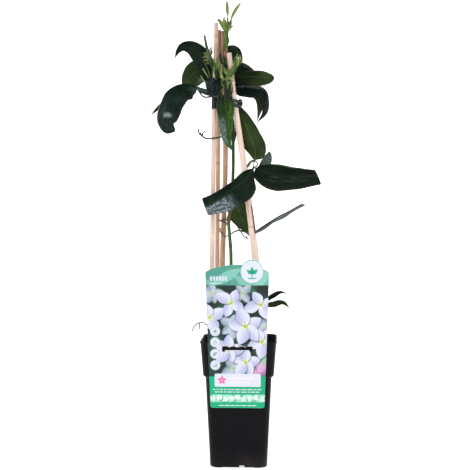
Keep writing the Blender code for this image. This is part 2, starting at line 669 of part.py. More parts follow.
def make_shoot(name, places, radii, spindles):
    steps = 3 * (len(places) - 1)
    body = tube(name, smooth_line(places, steps), radius_along(radii, steps), 8, "fresh shoot")
    join(body, [spindle(name + "_bud", thick, line) for thick, line in spindles])


def make_shoots():
    make_shoot("shoot_top", [Vector(p) for p in TOP_SHOOT["line"]], TOP_SHOOT["radii"], TOP_SHOOT["spindles"])
    for name, spec in (("shoot_left", LEFT_SHOOT), ("shoot_right", RIGHT_SHOOT)):
        places = seat_on_stem(spec["height"], spec["line"][0]) + [Vector(p) for p in spec["line"]]
        make_shoot(name, places, spec["radii"], spec["spindles"])


def make_stem():
    line = stem_line()
    tube("vine_stem", line, [stem_radius(p.z) for p in line], STEM_SIDES, "green stem")


def cane_places(spec):
    """A cane's middle line with places crowded at its knots, and the radius at each."""
    line = smooth_line(spec["line"], 60)
    length = sum((b - a).length for a, b in zip(line, line[1:]))
    spots = [(0.0, 1.0)]
    along = 40.0
    while along < length - 30:
        spots += [(along - 3, 1.0), (along, KNOT_SWELL), (along + 3, 1.0)]
        along += KNOT_SPACING
    spots.append((length, 0.97))
    places = [line[0].lerp(line[1], 0.0)]
    for distance, _ in spots[1:]:
        position = distance / length * 60
        k = min(int(position), 59)
        places.append(line[k].lerp(line[k + 1], position - k))
    foot, top = spec["radii"]
    return places, [(foot + (top - foot) * distance / length) * share for distance, share in spots]


def make_canes():
    for name, spec in CANES.items():
        places, radii = cane_places(spec)
        tube(name, places, radii, CANE_SIDES, "bamboo")


def make_tie():
    """A band of black tie tape round the front left cane."""
    spec = CANES["cane_front_left"]
    line = smooth_line(spec["line"], 60)
    low, high = line_at_height(line, TIE_LOW_Z), line_at_height(line, TIE_HIGH_Z)
    inner = cane_radius("cane_front_left", TIE_LOW_Z) * KNOT_SWELL + GAP
    band = tube("cane_tie", [low, low.lerp(high, 0.5), high], [inner + TIE_WALL] * 3, 16, "black tie")
    way = (high - low).normalized()
    bore = tube("tie_bore", [low - way * 2, high + way * 2], [inner] * 2, 16)
    join(band, [bore], "DIFFERENCE")


def square_ring(half, corner, z):
    """Places round a square with rounded corners, anticlockwise from above."""
    places = []
    inset = half - corner
    for quarter, (sx, sy) in enumerate(((1, 1), (-1, 1), (-1, -1), (1, -1))):
        for k in range(CORNER_STEPS + 1):
            turn = math.pi / 2 * (quarter + k / CORNER_STEPS)
            across = sx * inset + corner * math.cos(turn)
            places.append(Vector((across, sy * inset + corner * math.sin(turn), z)))
    return places


def lofted(name, rings, finish_name=None):
    """A closed solid through rings of places, capped at both ends."""
    count = len(rings[0])
    points = [p for ring in rings for p in ring]
    faces = [list(range(count)), [len(points) - count + k for k in range(count)]]
    for r in range(len(rings) - 1):
        for k in range(count):
            after = (k + 1) % count
            faces.append([r * count + k, r * count + after, (r + 1) * count + after, (r + 1) * count + k])
    return mesh_object(name, points, faces, finish_name)


def half_at(z):
    """Half width of the pot's outside at a height."""
    if z <= POT_BODY_TOP_Z:
        share = z / POT_BODY_TOP_Z
        return POT_FOOT_HALF + (POT_BODY_TOP_HALF - POT_FOOT_HALF) * share
    share = (z - POT_COLLAR_FOOT_Z) / (POT_HEIGHT - POT_COLLAR_FOOT_Z)
    return POT_COLLAR_FOOT_HALF + (POT_RIM_HALF - POT_COLLAR_FOOT_HALF) * share


def corner_at(z):
    return POT_FOOT_CORNER + (POT_RIM_CORNER - POT_FOOT_CORNER) * z / POT_HEIGHT


def box_object(name, low, high):
    points = [(x, y, z) for x in (low[0], high[0]) for y in (low[1], high[1]) for z in (low[2], high[2])]
    faces = [(0, 1, 3, 2), (4, 6, 7, 5), (0, 4, 5, 1), (2, 3, 7, 6), (0, 2, 6, 4), (1, 5, 7, 3)]
    return mesh_object(name, points, faces, smooth=False)


def front_plate(name, outline, y_at, y_back_at, finish_name=None):
    """A plate from an outline in x and z, with its front and back depth given as functions of height."""
    count = len(outline)
    points = [(x, y_at(z), z) for x, z in outline] + [(x, y_back_at(z), z) for x, z in outline]
    faces = [list(range(count)), [count + k for k in range(count)]]
    for k in range(count):
        after = (k + 1) % count
        faces.append([k, after, count + after, count + k])
    return mesh_object(name, points, faces, finish_name, smooth=False)


def hook_outline(margin):
    """The label hook seen from the front: a bar with two round bumps and its ends turned down."""
    z, half, bar = HOOK_MIDDLE_Z, HOOK_HALF + margin, HOOK_BAR + margin
    end_width, end_drop, shoulder = 3.2 + 2 * margin, 4.6 + margin, 7.5 + 2 * margin
    bump, bump_half, bump_place = 1.3, 3.2 + margin, 6.5
    top = [(-half, z + bar + 1.0), (-half + shoulder, z + bar + 1.0),
           (-half + shoulder + 1, z + bar - 0.3)]
    for place in (-bump_place, bump_place):
        top += [(place + bump_half * math.cos(turn), z + bar - 0.3 + bump * math.sin(turn))
                for turn in (math.pi * k / 4 for k in range(4, -1, -1))]
    top += [(half - shoulder - 1, z + bar - 0.3), (half - shoulder, z + bar + 1.0), (half, z + bar + 1.0)]
    low = [(half, z - end_drop), (half - end_width, z - end_drop), (half - end_width, z - bar),
           (-half + end_width, z - bar), (-half + end_width, z - end_drop), (-half, z - end_drop)]
    return [(HOOK_X + x, height) for x, height in top + low]


def collar_face(z):
    """Depth of the collar's flat front at a height."""
    return -half_at(max(z, POT_COLLAR_FOOT_Z))


def label_back(z):
    """Depth of the label's back: it lies along the collar and keeps that slope above and below."""
    slope = (POT_RIM_HALF - POT_COLLAR_FOOT_HALF) / (POT_HEIGHT - POT_COLLAR_FOOT_Z)
    return -(POT_RIM_HALF + POT_LIP + GAP + (z - POT_HEIGHT) * slope)


def label_front(z):
    return label_back(z) - LABEL_THICK


def make_pot():
    step = POT_COLLAR_FOOT_Z
    rim = POT_HEIGHT - POT_LIP_HEIGHT
    rings = [square_ring(POT_FOOT_HALF - 2.0, POT_FOOT_CORNER - 2.0, 0.0),
             square_ring(POT_FOOT_HALF, POT_FOOT_CORNER, 2.0),
             square_ring(half_at(70), corner_at(70), 70.0),
             square_ring(POT_BODY_TOP_HALF, corner_at(143), POT_BODY_TOP_Z),
             square_ring(POT_COLLAR_FOOT_HALF, corner_at(146), step),
             square_ring(half_at(rim), corner_at(190), rim),
             square_ring(POT_RIM_HALF + POT_LIP, POT_RIM_CORNER + POT_LIP, rim + 0.6),
             square_ring(POT_RIM_HALF + POT_LIP, POT_RIM_CORNER + POT_LIP, POT_HEIGHT),
             square_ring(POT_RIM_HALF - POT_WALL, POT_RIM_CORNER - POT_WALL, POT_HEIGHT),
             square_ring(POT_COLLAR_FOOT_HALF - POT_WALL, corner_at(146) - POT_WALL, step + 2.0),
             square_ring(POT_BODY_TOP_HALF - POT_WALL, corner_at(143) - POT_WALL, POT_BODY_TOP_Z - 1.0),
             square_ring(half_at(70) - POT_WALL, corner_at(70) - POT_WALL, 70.0),
             square_ring(POT_FOOT_HALF - POT_WALL + 0.2, POT_FOOT_CORNER - POT_WALL, POT_FLOOR)]
    pot = lofted("pot", rings, "black plastic")
    cutters = []
    for turn in range(4):
        reach = POT_FOOT_HALF + 2.0
        notch = box_object("notch", (NOTCH_OFFSET - NOTCH_WIDTH / 2, -reach, -1.0),
                           (NOTCH_OFFSET + NOTCH_WIDTH / 2, -reach + NOTCH_DEPTH, NOTCH_HEIGHT))
        relief = box_object("relief", (-RELIEF_WIDTH / 2, -reach, -1.0),
                            (RELIEF_WIDTH / 2, -reach + RELIEF_DEPTH, RELIEF_HEIGHT))
        for cutter in (notch, relief):
            cutter.data.transform(quarter_turn(turn))
            cutters.append(cutter)
    join(pot, cutters, "DIFFERENCE")
    hook = front_plate("hook", hook_outline(0.0), lambda z: collar_face(z) - HOOK_STAND_OUT - 0.4,
                       lambda z: collar_face(z) + POT_WALL / 2)
    join(pot, [hook])


def quarter_turn(number):
    return Matrix.Rotation(number * math.pi / 2, 4, "Z")


def label_outline():
    """The label from the front: tapered sides, arched top and a round ear at the upper right."""
    right_top, foot = LABEL_TOP_HALF, LABEL_FOOT_Z
    places = []
    for sign in (-1, 1):
        turns = range(0, 4) if sign < 0 else range(3, -1, -1)
        for k in turns:
            turn = math.pi / 2 * k / 3
            across = LABEL_FOOT_HALF - LABEL_CORNER + LABEL_CORNER * math.cos(turn)
            places.append((sign * across, foot + LABEL_CORNER - LABEL_CORNER * math.sin(turn)))
    places.append((right_top, LABEL_SHOULDER_Z - 3))
    places.append((right_top - 1.5, LABEL_SHOULDER_Z))
    arch = [(x, LABEL_CROWN_Z - (LABEL_CROWN_Z - LABEL_SHOULDER_Z) * (x / right_top) ** 2)
            for x in (44.0, 1.8, -12.0, -24.0, -36.0, -44.0)]
    ear = []
    for k in range(11):
        turn = math.radians(8 + k * 15.2)
        ear.append((LABEL_DISC_X + LABEL_DISC_RADIUS * math.cos(turn),
                    LABEL_DISC_Z + LABEL_DISC_RADIUS * math.sin(turn)))
    places += [arch[0]] + ear + arch[1:]
    places.append((-right_top + 1.5, LABEL_SHOULDER_Z))
    places.append((-right_top, LABEL_SHOULDER_Z - 3))
    return [(LABEL_X + x, height) for x, height in places]


def make_label():
    label = front_plate("label", label_outline(), label_front, label_back, "printed label")
    slot = front_plate("slot", hook_outline(SLOT_MARGIN), lambda z: label_front(z) - 3,
                       lambda z: label_back(z) + 3)
    join(label, [slot], "DIFFERENCE")


def make_soil():
    """A block that fills the pot, lumpy on top, with a plain hole for each cane and stem."""
    foot_z = POT_FLOOR + GAP
    inner = POT_WALL + GAP
    rings = [square_ring(half_at(foot_z) - inner - 0.5, POT_FOOT_CORNER - inner, foot_z),
             square_ring(half_at(70) - inner, corner_at(70) - inner, 70.0),
             square_ring(POT_BODY_TOP_HALF - inner - 0.1, corner_at(143) - inner, POT_BODY_TOP_Z - 1.0),
             square_ring(POT_COLLAR_FOOT_HALF - inner - 0.6, corner_at(146) - inner, POT_COLLAR_FOOT_Z + 2.0),
             square_ring(half_at(SOIL_TOP_Z) - inner - 0.3, corner_at(SOIL_TOP_Z) - inner, SOIL_TOP_Z - 4.0)]
    rim = rings[-1]
    for share in (0.94, 0.75, 0.5, 0.25):
        ring = []
        for k, spot in enumerate(rim):
            x, y = spot.x * share, spot.y * share
            lump = math.sin(x * 0.23 + 1.0) * math.cos(y * 0.19) + 0.6 * math.sin(x * 0.61 + y * 0.47)
            ring.append(Vector((x, y, SOIL_TOP_Z + SOIL_LUMP * lump * 0.6 - 2.0 * share)))
        rings.append(ring)
    soil = lofted("soil", rings, "potting soil")
    holes = []
    for name, spec in CANES.items():
        places, _ = cane_places(spec)
        way = (places[1] - places[0]).normalized()
        run = [places[0] - way * GAP] + [p for p in places[1:] if p.z < SOIL_TOP_Z + 120]
        holes.append(tube(name + "_hole", run, [spec["radii"][0] * KNOT_SWELL + GAP] * len(run), CANE_SIDES))
    stem = stem_line()
    run = [stem[0] - Vector((0, 0, GAP))] + stem[1:12]
    holes.append(tube("stem_hole", run, [STEM_FOOT_RADIUS + GAP] * len(run), STEM_SIDES))
    low_tendril = [LOW_TENDRIL["foot"]] + LOW_TENDRIL["line"]
    for spec, start in ((LOW_TENDRIL, low_tendril), (LOW_SHOOT, LOW_SHOOT["line"])):
        run = [p for p in smooth_line(start, 22) if p.z < SOIL_TOP_Z + 16]
        run[0] = run[0] - Vector((0, 0, GAP))
        holes.append(tube("small_hole", run, [spec["radius"] * 1.15 + GAP] * len(run), STEM_SIDES))
    join(soil, holes, "DIFFERENCE")


def main():
    clear_scene()
    make_pot()
    make_soil()
    make_label()
    make_canes()
    make_tie()
    make_stem()
    make_leaves()
    make_winding_leaf()
    make_clasp()
    make_tendrils()
    make_low_shoot()
    make_shoots()


main()
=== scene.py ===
import math
import random

import bpy
import bmesh
import numpy as np
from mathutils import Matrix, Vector, noise


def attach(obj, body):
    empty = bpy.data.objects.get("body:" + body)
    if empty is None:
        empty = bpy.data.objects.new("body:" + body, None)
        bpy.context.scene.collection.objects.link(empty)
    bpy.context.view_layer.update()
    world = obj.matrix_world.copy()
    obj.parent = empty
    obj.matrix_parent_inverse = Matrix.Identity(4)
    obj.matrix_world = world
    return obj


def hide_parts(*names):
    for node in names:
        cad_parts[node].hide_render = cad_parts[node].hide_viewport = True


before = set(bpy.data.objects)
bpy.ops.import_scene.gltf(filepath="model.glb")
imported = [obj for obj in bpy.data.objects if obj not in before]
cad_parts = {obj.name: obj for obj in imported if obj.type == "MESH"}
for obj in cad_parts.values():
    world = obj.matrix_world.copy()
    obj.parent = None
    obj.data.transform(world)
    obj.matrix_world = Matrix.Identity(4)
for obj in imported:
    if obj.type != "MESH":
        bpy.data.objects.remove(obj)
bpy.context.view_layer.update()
mm = 0.001
print("frame loaded")


# Small tools for lines, shells and objects. A shell is a bit of mesh with its finish number, and
# places in shells and tables are millimetres.

def smoothLine(points, steps):
    spots = [Vector(p) for p in points]
    ends = [spots[0] * 2 - spots[1]] + spots + [spots[-1] * 2 - spots[-2]]
    fine = [spots[0]]
    for i in range(1, len(ends) - 2):
        a, b, c, d = ends[i - 1:i + 3]
        for k in range(1, 17):
            t = k / 16
            fine.append(0.5 * (2 * b + (c - a) * t + (2 * a - 5 * b + 4 * c - d) * t ** 2
                               + (3 * b - a - 3 * c + d) * t ** 3))
    reach = [0.0]
    for a, b in zip(fine, fine[1:]):
        reach.append(reach[-1] + (b - a).length)
    out, k = [], 0
    for i in range(steps + 1):
        goal = reach[-1] * i / steps
        while k < len(fine) - 2 and reach[k + 1] < goal:
            k += 1
        share = (goal - reach[k]) / max(reach[k + 1] - reach[k], 1e-9)
        out.append(fine[k].lerp(fine[k + 1], min(1.0, share)))
    return out


def turnsAround(count):
    return [2 * math.pi * k / count for k in range(count)]


def headings(line):
    last = len(line) - 1
    return [(line[min(i + 1, last)] - line[max(i - 1, 0)]).normalized() for i in range(last + 1)]


def carriedNormals(line, face):
    # face is met half way along, and the rest turns with the line without twisting
    ways = headings(line)
    middle = len(line) // 2
    normals = [None] * len(line)
    start = Vector(face)
    normals[middle] = (start - start.project(ways[middle])).normalized()
    for order in (range(middle + 1, len(line)), range(middle - 1, -1, -1)):
        before = middle
        for i in order:
            turned = ways[before].rotation_difference(ways[i]) @ normals[before]
            normals[i] = (turned - turned.project(ways[i])).normalized()
            before = i
    return normals


def alongLine(values, steps):
    # steps + 1 numbers read evenly between the given ones
    if len(values) == 1:
        return values * (steps + 1)
    out = []
    for i in range(steps + 1):
        spot = i / steps * (len(values) - 1)
        k = min(int(spot), len(values) - 2)
        out.append(values[k] + (values[k + 1] - values[k]) * (spot - k))
    return out


def atHeight(line, z):
    for a, b in zip(line, line[1:]):
        if a.z <= z <= b.z:
            return a.lerp(b, (z - a.z) / (b.z - a.z))
    return line[0] if z < line[0].z else line[-1]


def newShell(finish=0):
    return {"points": [], "faces": [], "uvs": [], "finish": finish}


def gridShell(rows, finish=0, closed=False, uvs=None):
    # rows of places become quads; closed joins each row's ends
    shell = newShell(finish)
    across = len(rows[0])
    shell["points"] = [p for row in rows for p in row]
    last = len(rows) - 1
    for i in range(last):
        for j in range(across if closed else across - 1):
            k = (j + 1) % across
            low, high = i * across, (i + 1) * across
            shell["faces"].append((low + j, low + k, high + k, high + j))
            if uvs:
                shell["uvs"].append((uvs[i][j], uvs[i][j + 1], uvs[i + 1][j + 1], uvs[i + 1][j]))
                continue
            left, right = j / across, (j + 1) / across
            foot, top = i / last, (i + 1) / last
            shell["uvs"].append(((left, foot), (right, foot), (right, top), (left, top)))
    return shell


def capShell(ring, finish=0, flip=False):
    shell = newShell(finish)
    middle = sum(ring, Vector()) / len(ring)
    shell["points"] = [middle] + list(ring)
    for k in range(len(ring)):
        a, b = 1 + k, 1 + (k + 1) % len(ring)
        shell["faces"].append((0, b, a) if flip else (0, a, b))
        shell["uvs"].append(((0.5, 0.5), (0.5, 1.0), (1.0, 0.5)))
    return shell


def closedRings(rings, finish=0):
    ends = [capShell(rings[0], finish, flip=True), capShell(rings[-1], finish)]
    return [gridShell(rings, finish, closed=True)] + ends


lumpSize, ribDepth = 1.3, 0.07      # of a tube's uneven skin and its soft ribs, as shares of its radius


def ringsAlong(line, radii, sides, wobble=0.0, ribs=0, seed=0.0):
    ways = headings(line)
    start = Vector((0, -1, 0)) if abs(ways[len(line) // 2].y) < 0.9 else Vector((1, 0, 0))
    normals = carriedNormals(line, start)
    rings = []
    for i, (place, way, normal, radius) in enumerate(zip(line, ways, normals, radii)):
        side = way.cross(normal)
        ring = []
        for turn in turnsAround(sides):
            spot = (math.cos(turn) * lumpSize + seed, math.sin(turn) * lumpSize, i * 0.21)
            reach = radius * (1 + wobble * noise.noise(spot))
            if ribs:
                reach *= 1 + ribDepth * math.cos(ribs * turn)
            ring.append(place + (normal * math.cos(turn) + side * math.sin(turn)) * reach)
        rings.append(ring)
    return rings


def tubeShells(line, radii, sides=12, finish=0, endFinish=None, wobble=0.0, ribs=0, seed=0.0):
    rings = ringsAlong(line, radii, sides, wobble, ribs, seed)
    reach, total = [0.0], 0.0
    for a, b in zip(line, line[1:]):
        total += (b - a).length
        reach.append(total)
    uvs = [[(j / sides, r * 0.01) for j in range(sides + 1)] for r in reach]     # v runs 1 for each 100 mm
    body = gridShell(rings, finish, closed=True, uvs=uvs)
    end = finish if endFinish is None else endFinish
    return [body, capShell(rings[0], end, flip=True), capShell(rings[-1], end)]


def taperedTube(places, radii, steps, sides=8, finish=0, **skin):
    # radii are spread evenly along a smooth line through the places
    return tubeShells(smoothLine(places, steps), alongLine(radii, steps), sides, finish, **skin)


def newObject(name, mesh):
    piece = bpy.data.objects.new(name, mesh)
    bpy.context.scene.collection.objects.link(piece)
    return piece


def applyModifiers(piece):
    mesh = bpy.data.meshes.new_from_object(piece.evaluated_get(bpy.context.evaluated_depsgraph_get()))
    piece.modifiers.clear()
    piece.data = mesh


def belongs(piece, node=None):
    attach(piece, "root")
    if node:
        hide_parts(node)


def buildPiece(name, shells, finishes, node=None, slot=None, sharpAngle=None, weld=True):
    mesh = bpy.data.meshes.new(name)
    points, faces, finishNumbers, corners = [], [], [], []
    for shell in shells:
        start = len(points)
        points += [tuple(p * mm) for p in map(Vector, shell["points"])]
        faces += [tuple(start + v for v in f) for f in shell["faces"]]
        finishNumbers += [shell["finish"]] * len(shell["faces"])
        for face, corner in zip(shell["faces"], shell["uvs"] or [None] * len(shell["faces"])):
            corners += list(corner) if corner else [(0.0, 0.0)] * len(face)
    mesh.from_pydata(points, [], faces)
    layer = mesh.uv_layers.new(name="place")
    layer.data.foreach_set("uv", np.array(corners, dtype=np.float32).ravel())
    mesh.polygons.foreach_set("material_index", finishNumbers)
    for finish in finishes:
        mesh.materials.append(finish)
    if weld:
        work = bmesh.new()
        work.from_mesh(mesh)
        bmesh.ops.remove_doubles(work, verts=work.verts, dist=1e-6)
        work.to_mesh(mesh)
        work.free()
    mesh.shade_smooth()
    if sharpAngle:
        mesh.set_sharp_from_angle(angle=math.radians(sharpAngle))
    piece = newObject(name, mesh)
    if slot:
        belongs(piece, node)
    return piece


# Finishes. Colours in the tables are display values from 0 to 255.

def shade(red, green, blue):
    out = []
    for value in (red, green, blue):
        c = value / 255
        out.append(c / 12.92 if c <= 0.04045 else ((c + 0.055) / 1.055) ** 2.4)
    return (*out, 1.0)


class NodeDesk:
    # a short hand for node trees: each call adds a node and gives back its first output

    def __init__(self, name):
        self.material = bpy.data.materials.new(name)
        self.material.use_nodes = True
        self.tree = self.material.node_tree
        self.shader = self.tree.nodes["Principled BSDF"]

    def add(self, kind, inputs=None, out=0, **settings):
        node = self.tree.nodes.new(kind)
        for key, value in settings.items():
            setattr(node, key, value)
        for key, value in (inputs or {}).items():
            self.feed(node.inputs[key], value)
        return node.outputs[out]

    def feed(self, socket, value):
        if isinstance(value, bpy.types.NodeSocket):
            self.tree.links.new(value, socket)
        else:
            socket.default_value = value

    def sums(self, operation, a, b=0.0, clamp=False):
        return self.add("ShaderNodeMath", {0: a, 1: b}, operation=operation, use_clamp=clamp)

    def plus(self, a, b, clamp=False):
        return self.sums("ADD", a, b, clamp)

    def minus(self, a, b):
        return self.sums("SUBTRACT", a, b)

    def times(self, a, b):
        return self.sums("MULTIPLY", a, b)

    def size(self, a):
        return self.sums("ABSOLUTE", a)

    def band(self, value, low, high, lowOut=0.0, highOut=1.0):
        ends = {"Value": value, "From Min": low, "From Max": high, "To Min": lowOut, "To Max": highOut}
        return self.add("ShaderNodeMapRange", ends, interpolation_type="SMOOTHSTEP")

    def fall(self, value, low, high, top=1.0):
        return self.band(value, low, high, top, 0.0)

    def blend(self, share, a, b):
        return self.add("ShaderNodeMix", {0: share, 6: a, 7: b}, out=2, data_type="RGBA")

    def twoTone(self, look, share):
        return self.blend(share, shade(*look["dark"]), shade(*look["light"]))

    def tint(self, colour, share, display, strength=None):
        # lays a display colour over colour where share is 1
        if strength is not None:
            share = self.times(share, strength)
        return self.blend(share, colour, shade(*display))

    def window(self, value, edges):
        # rises over the first two edges and falls over the last two
        begin, full, fade, gone = edges
        return self.times(self.band(value, begin, full), self.fall(value, fade, gone))

    def noiseAt(self, place, scale, detail=3.0, rough=0.55):
        grain = {"Vector": place, "Scale": scale, "Detail": detail, "Roughness": rough}
        return self.add("ShaderNodeTexNoise", grain)

    def mottle(self, scale, detail=3.0, rough=0.55):
        return self.noiseAt(self.spot(), scale, detail, rough)

    def streaks(self, place, stretch, scale, detail=3.0, rough=0.55):
        return self.noiseAt(self.stretch(place, *stretch), scale, detail, rough)

    def uv(self):
        return self.add("ShaderNodeUVMap", uv_map="place")

    def spot(self):
        return self.add("ShaderNodeTexCoord", out=3)          # object coordinates, in metres

    def split(self, vector):
        node = self.tree.nodes.new("ShaderNodeSeparateXYZ")
        self.tree.links.new(vector, node.inputs[0])
        return node.outputs

    def stretch(self, vector, x, y, z=1.0):
        return self.add("ShaderNodeMapping", {"Vector": vector, "Scale": (x, y, z)})

    def done(self, colour, roughness, bump=None, bumpStrength=0.3, bumpDistance=0.0005, **constants):
        self.feed(self.shader.inputs["Base Color"], colour)
        self.feed(self.shader.inputs["Roughness"], roughness)
        for key, value in constants.items():
            self.shader.inputs[key.replace("_", " ")].default_value = value
        if bump is not None:
            relief = {"Height": bump, "Strength": bumpStrength, "Distance": bumpDistance}
            self.tree.links.new(self.add("ShaderNodeBump", relief), self.shader.inputs["Normal"])
        return self.material


leafSkin = {
    "midrib": (0.012, 0.06), "sideVeinAt": 0.48, "sideVein": (0.004, 0.035), "net": (10.0, 34.0),
    "netLine": (0.01, 0.1), "mottle": 38.0, "foot": (0.25, 0.75), "rim": (0.93, 1.0), "rimShow": 0.3,
    "fleck": 330.0, "fleckColour": (58, 46, 30), "fleckShow": 0.35, "grain": 900.0, "shine": 130.0,
}


def leafFinish(name, look):
    # three long veins, a fine net between them and a leathery skin; u runs across, v to the tip
    skin = leafSkin
    desk = NodeDesk(name)
    place = desk.uv()
    u, v = desk.split(place)[0:2]
    across = desk.size(desk.minus(desk.times(u, 2.0), 1.0))
    midrib = desk.fall(across, *skin["midrib"])
    sideVein = desk.fall(desk.size(desk.minus(across, skin["sideVeinAt"])), *skin["sideVein"])
    net = desk.add("ShaderNodeTexVoronoi", {"Vector": desk.stretch(place, *skin["net"]), "Scale": 1.0},
                   feature="DISTANCE_TO_EDGE")
    netLine = desk.fall(net, *skin["netLine"])
    mottle = desk.mottle(skin["mottle"], 5.0)
    veins = desk.sums("MAXIMUM", midrib, desk.times(sideVein, look.get("side", 0.35)))
    veins = desk.plus(veins, desk.times(netLine, look.get("net", 0.1)), clamp=True)
    colour = desk.twoTone(look, desk.band(mottle, 0.32, 0.7))
    if "base" in look:        # a darker foot that clears towards the tip
        foot = desk.fall(desk.plus(v, desk.times(mottle, 0.2)), *skin["foot"])
        colour = desk.tint(colour, foot, look["base"])
    for patch in look.get("patches", []):        # painted sheen, painted highlights, a brown rim and darker clouds, mottled
        cloud = desk.streaks(place, patch.get("grain", (6.0, 14.0)), 1.4, 4.0)
        share = desk.window(v, patch.get("along", (-2.0, -1.0, 2.0, 3.0)))
        share = desk.times(share, desk.window(u, patch.get("across", (-3.0, -2.0, 2.0, 3.0))))
        clouded = desk.band(cloud, *patch.get("cloud", (0.36, 0.6)), patch.get("least", 0.1), 1.0)
        share = desk.times(share, clouded)
        colour = desk.tint(colour, share, patch["colour"], patch.get("show", 1.0))
    colour = desk.tint(colour, veins, look["vein"], look.get("veinShow", 0.32))
    colour = desk.tint(colour, desk.band(across, *skin["rim"]), look["vein"], skin["rimShow"])
    fleck = desk.band(desk.mottle(skin["fleck"], 2.0), 0.72, 0.78)
    colour = desk.tint(colour, fleck, skin["fleckColour"], skin["fleckShow"])
    grain = desk.mottle(skin["grain"], 2.0)
    height = desk.minus(desk.times(grain, 0.12), desk.times(veins, look.get("groove", 0.6)))
    satin, specular = look["gloss"]
    rough = desk.band(desk.mottle(skin["shine"]), 0.3, 0.7, satin - 0.06, satin + 0.08)
    return desk.done(colour, rough, height, 0.35, 0.0006, Specular_IOR_Level=specular)


def stalkFinish(name, look):
    desk = NodeDesk(name)
    place = desk.uv()
    streak = desk.streaks(place, (7.0, 2.2), 1.6, 4.0)
    patch = desk.mottle(45.0, 3.0)
    colour = desk.twoTone(look, desk.band(streak, 0.35, 0.65))
    colour = desk.tint(colour, desk.band(patch, 0.5, 0.75), look["patch"], look.get("patchShow", 0.5))
    if "high" in look:           # a darker upper part and a brown joint
        height = desk.split(desk.spot())[2]
        colour = desk.tint(colour, desk.band(height, *look["highFrom"]), look["high"], 0.8)
        fromKnot = desk.size(desk.minus(height, look["knotZ"]))
        colour = desk.tint(colour, desk.band(fromKnot, 0.004, 0.012, 0.7, 0.0), look["knot"])
    skin = desk.streaks(place, (12.0, 6.0), 2.0)
    return desk.done(colour, look.get("roughness", 0.5), skin, 0.25, 0.0003,
                     Specular_IOR_Level=look.get("specular", 0.2))


bambooSkin = {
    "fibre": (26.0, 1.3), "streak": (5.0, 0.55), "pores": (40.0, 9.0), "stains": (3.0, 1.1),
    "shadedSide": 0.3, "shadedHalf": (0.03, 0.16), "topFrom": (0.58, 0.66), "scarAt": 3.0,
    "scarHalf": (0.3, 1.7), "scar": 0.5, "dustAt": 3.5, "dustHalf": (1.0, 6.0), "dust": 0.22,
}


def bambooFinish(name, look, cane):
    # long fibres, pores, painted shade down one side, a darker top, and a scar below each knot; v is 1 for
    # each 100 mm
    skin = bambooSkin
    desk = NodeDesk(name)
    place = desk.uv()
    u, v = desk.split(place)[0:2]
    fibre = desk.streaks(place, skin["fibre"], 2.2, 5.0, 0.6)
    streak = desk.streaks(place, skin["streak"], 1.8, 3.0)
    pore = desk.band(desk.streaks(place, skin["pores"], 3.0, 2.0), 0.66, 0.74)
    bloom = desk.mottle(22.0, 3.0)
    colour = desk.twoTone(look, desk.band(fibre, 0.3, 0.7))
    colour = desk.tint(colour, desk.band(streak, 0.52, 0.72), look["streak"], 0.6)
    colour = desk.tint(colour, pore, look["pore"], 0.5)
    colour = desk.tint(colour, desk.band(bloom, 0.5, 0.72), look["bloom"], 0.35)
    # painted shade: one side of the cane darkened towards the pore colour
    drift = desk.times(desk.minus(streak, 0.5), 0.12)
    turn = desk.size(desk.minus(desk.plus(u, drift), skin["shadedSide"]))
    colour = desk.tint(colour, desk.band(turn, *skin["shadedHalf"], look["worn"], 0.0), look["pore"])
    stain = desk.band(desk.streaks(place, skin["stains"], 2.6, 2.0), 0.64, 0.72)
    colour = desk.tint(colour, stain, look["pore"], 0.4)
    # darker towards the top of the canes
    high = desk.band(desk.split(desk.spot())[2], *skin["topFrom"], 0.0, look.get("topDarkening", 0.0))
    colour = desk.tint(colour, high, look["pore"], desk.band(streak, 0.45, 0.55))
    fromKnot = desk.sums("DIVIDE", desk.minus(v, cane["firstKnot"] * 0.01), cane["spacing"] * 0.01)
    phase = desk.minus(desk.sums("FRACT", desk.plus(fromKnot, 0.5)), 0.5)
    phase = desk.times(phase, cane["spacing"])
    ring = desk.plus(phase, desk.times(desk.minus(streak, 0.5), 2.4))
    scar = desk.band(desk.size(desk.minus(ring, skin["scarAt"])), *skin["scarHalf"], skin["scar"], 0.0)
    dusty = desk.band(desk.size(desk.plus(ring, skin["dustAt"])), *skin["dustHalf"], skin["dust"], 0.0)
    colour = desk.tint(colour, dusty, look["bloom"])
    colour = desk.tint(colour, scar, look["pore"], desk.band(fibre, 0.3, 0.6, 0.4, 1.0))
    rough = desk.band(fibre, 0.3, 0.7, 0.42, 0.6)
    return desk.done(colour, rough, fibre, 0.3, 0.0003, Specular_IOR_Level=0.25)


def plainFinish(name, colour, roughness, grainScale=700.0, bumpStrength=0.1, variation=0.12, specular=0.4):
    desk = NodeDesk(name)
    patch = desk.mottle(30.0, 4.0)
    base = shade(*colour)
    darker = tuple(c * (1 - variation) for c in base[:3]) + (1.0,)
    tone = desk.blend(desk.band(patch, 0.3, 0.7), darker, base)
    return desk.done(tone, desk.band(patch, 0.3, 0.7, roughness - 0.04, roughness + 0.05),
                     desk.mottle(grainScale, 2.0), bumpStrength, 0.0002, Specular_IOR_Level=specular)


# Camera, floor and light

cameraSetup = {
    "place": (0.0558, -1.599, 0.403), "target": (-0.007, -0.0002, 0.3667), "lens": 75.9,
}
stageSetup = {
    "floorRadius": 2.6, "wallHeight": 1.7, "bend": 0.5, "colour": (244, 244, 244), "glow": 0.62,
    "skyStrength": 0.24,
}
lamps = [
    {"name": "keyLamp", "place": (0.45, -1.0, 1.9), "size": 0.7, "power": 8.4, "tint": (1.0, 0.99, 0.975)},
    {"name": "sideLamp", "place": (-1.5, -0.7, 1.3), "size": 0.8, "power": 4.6, "tint": (1.0, 1.0, 1.0)},
    {"name": "backLamp", "place": (0.3, 1.3, 1.8), "size": 0.8, "power": 7.0, "tint": (1.0, 1.0, 1.0)},
]


def facing(place, target):
    return (Vector(target) - place).to_track_quat("-Z", "Y").to_euler()


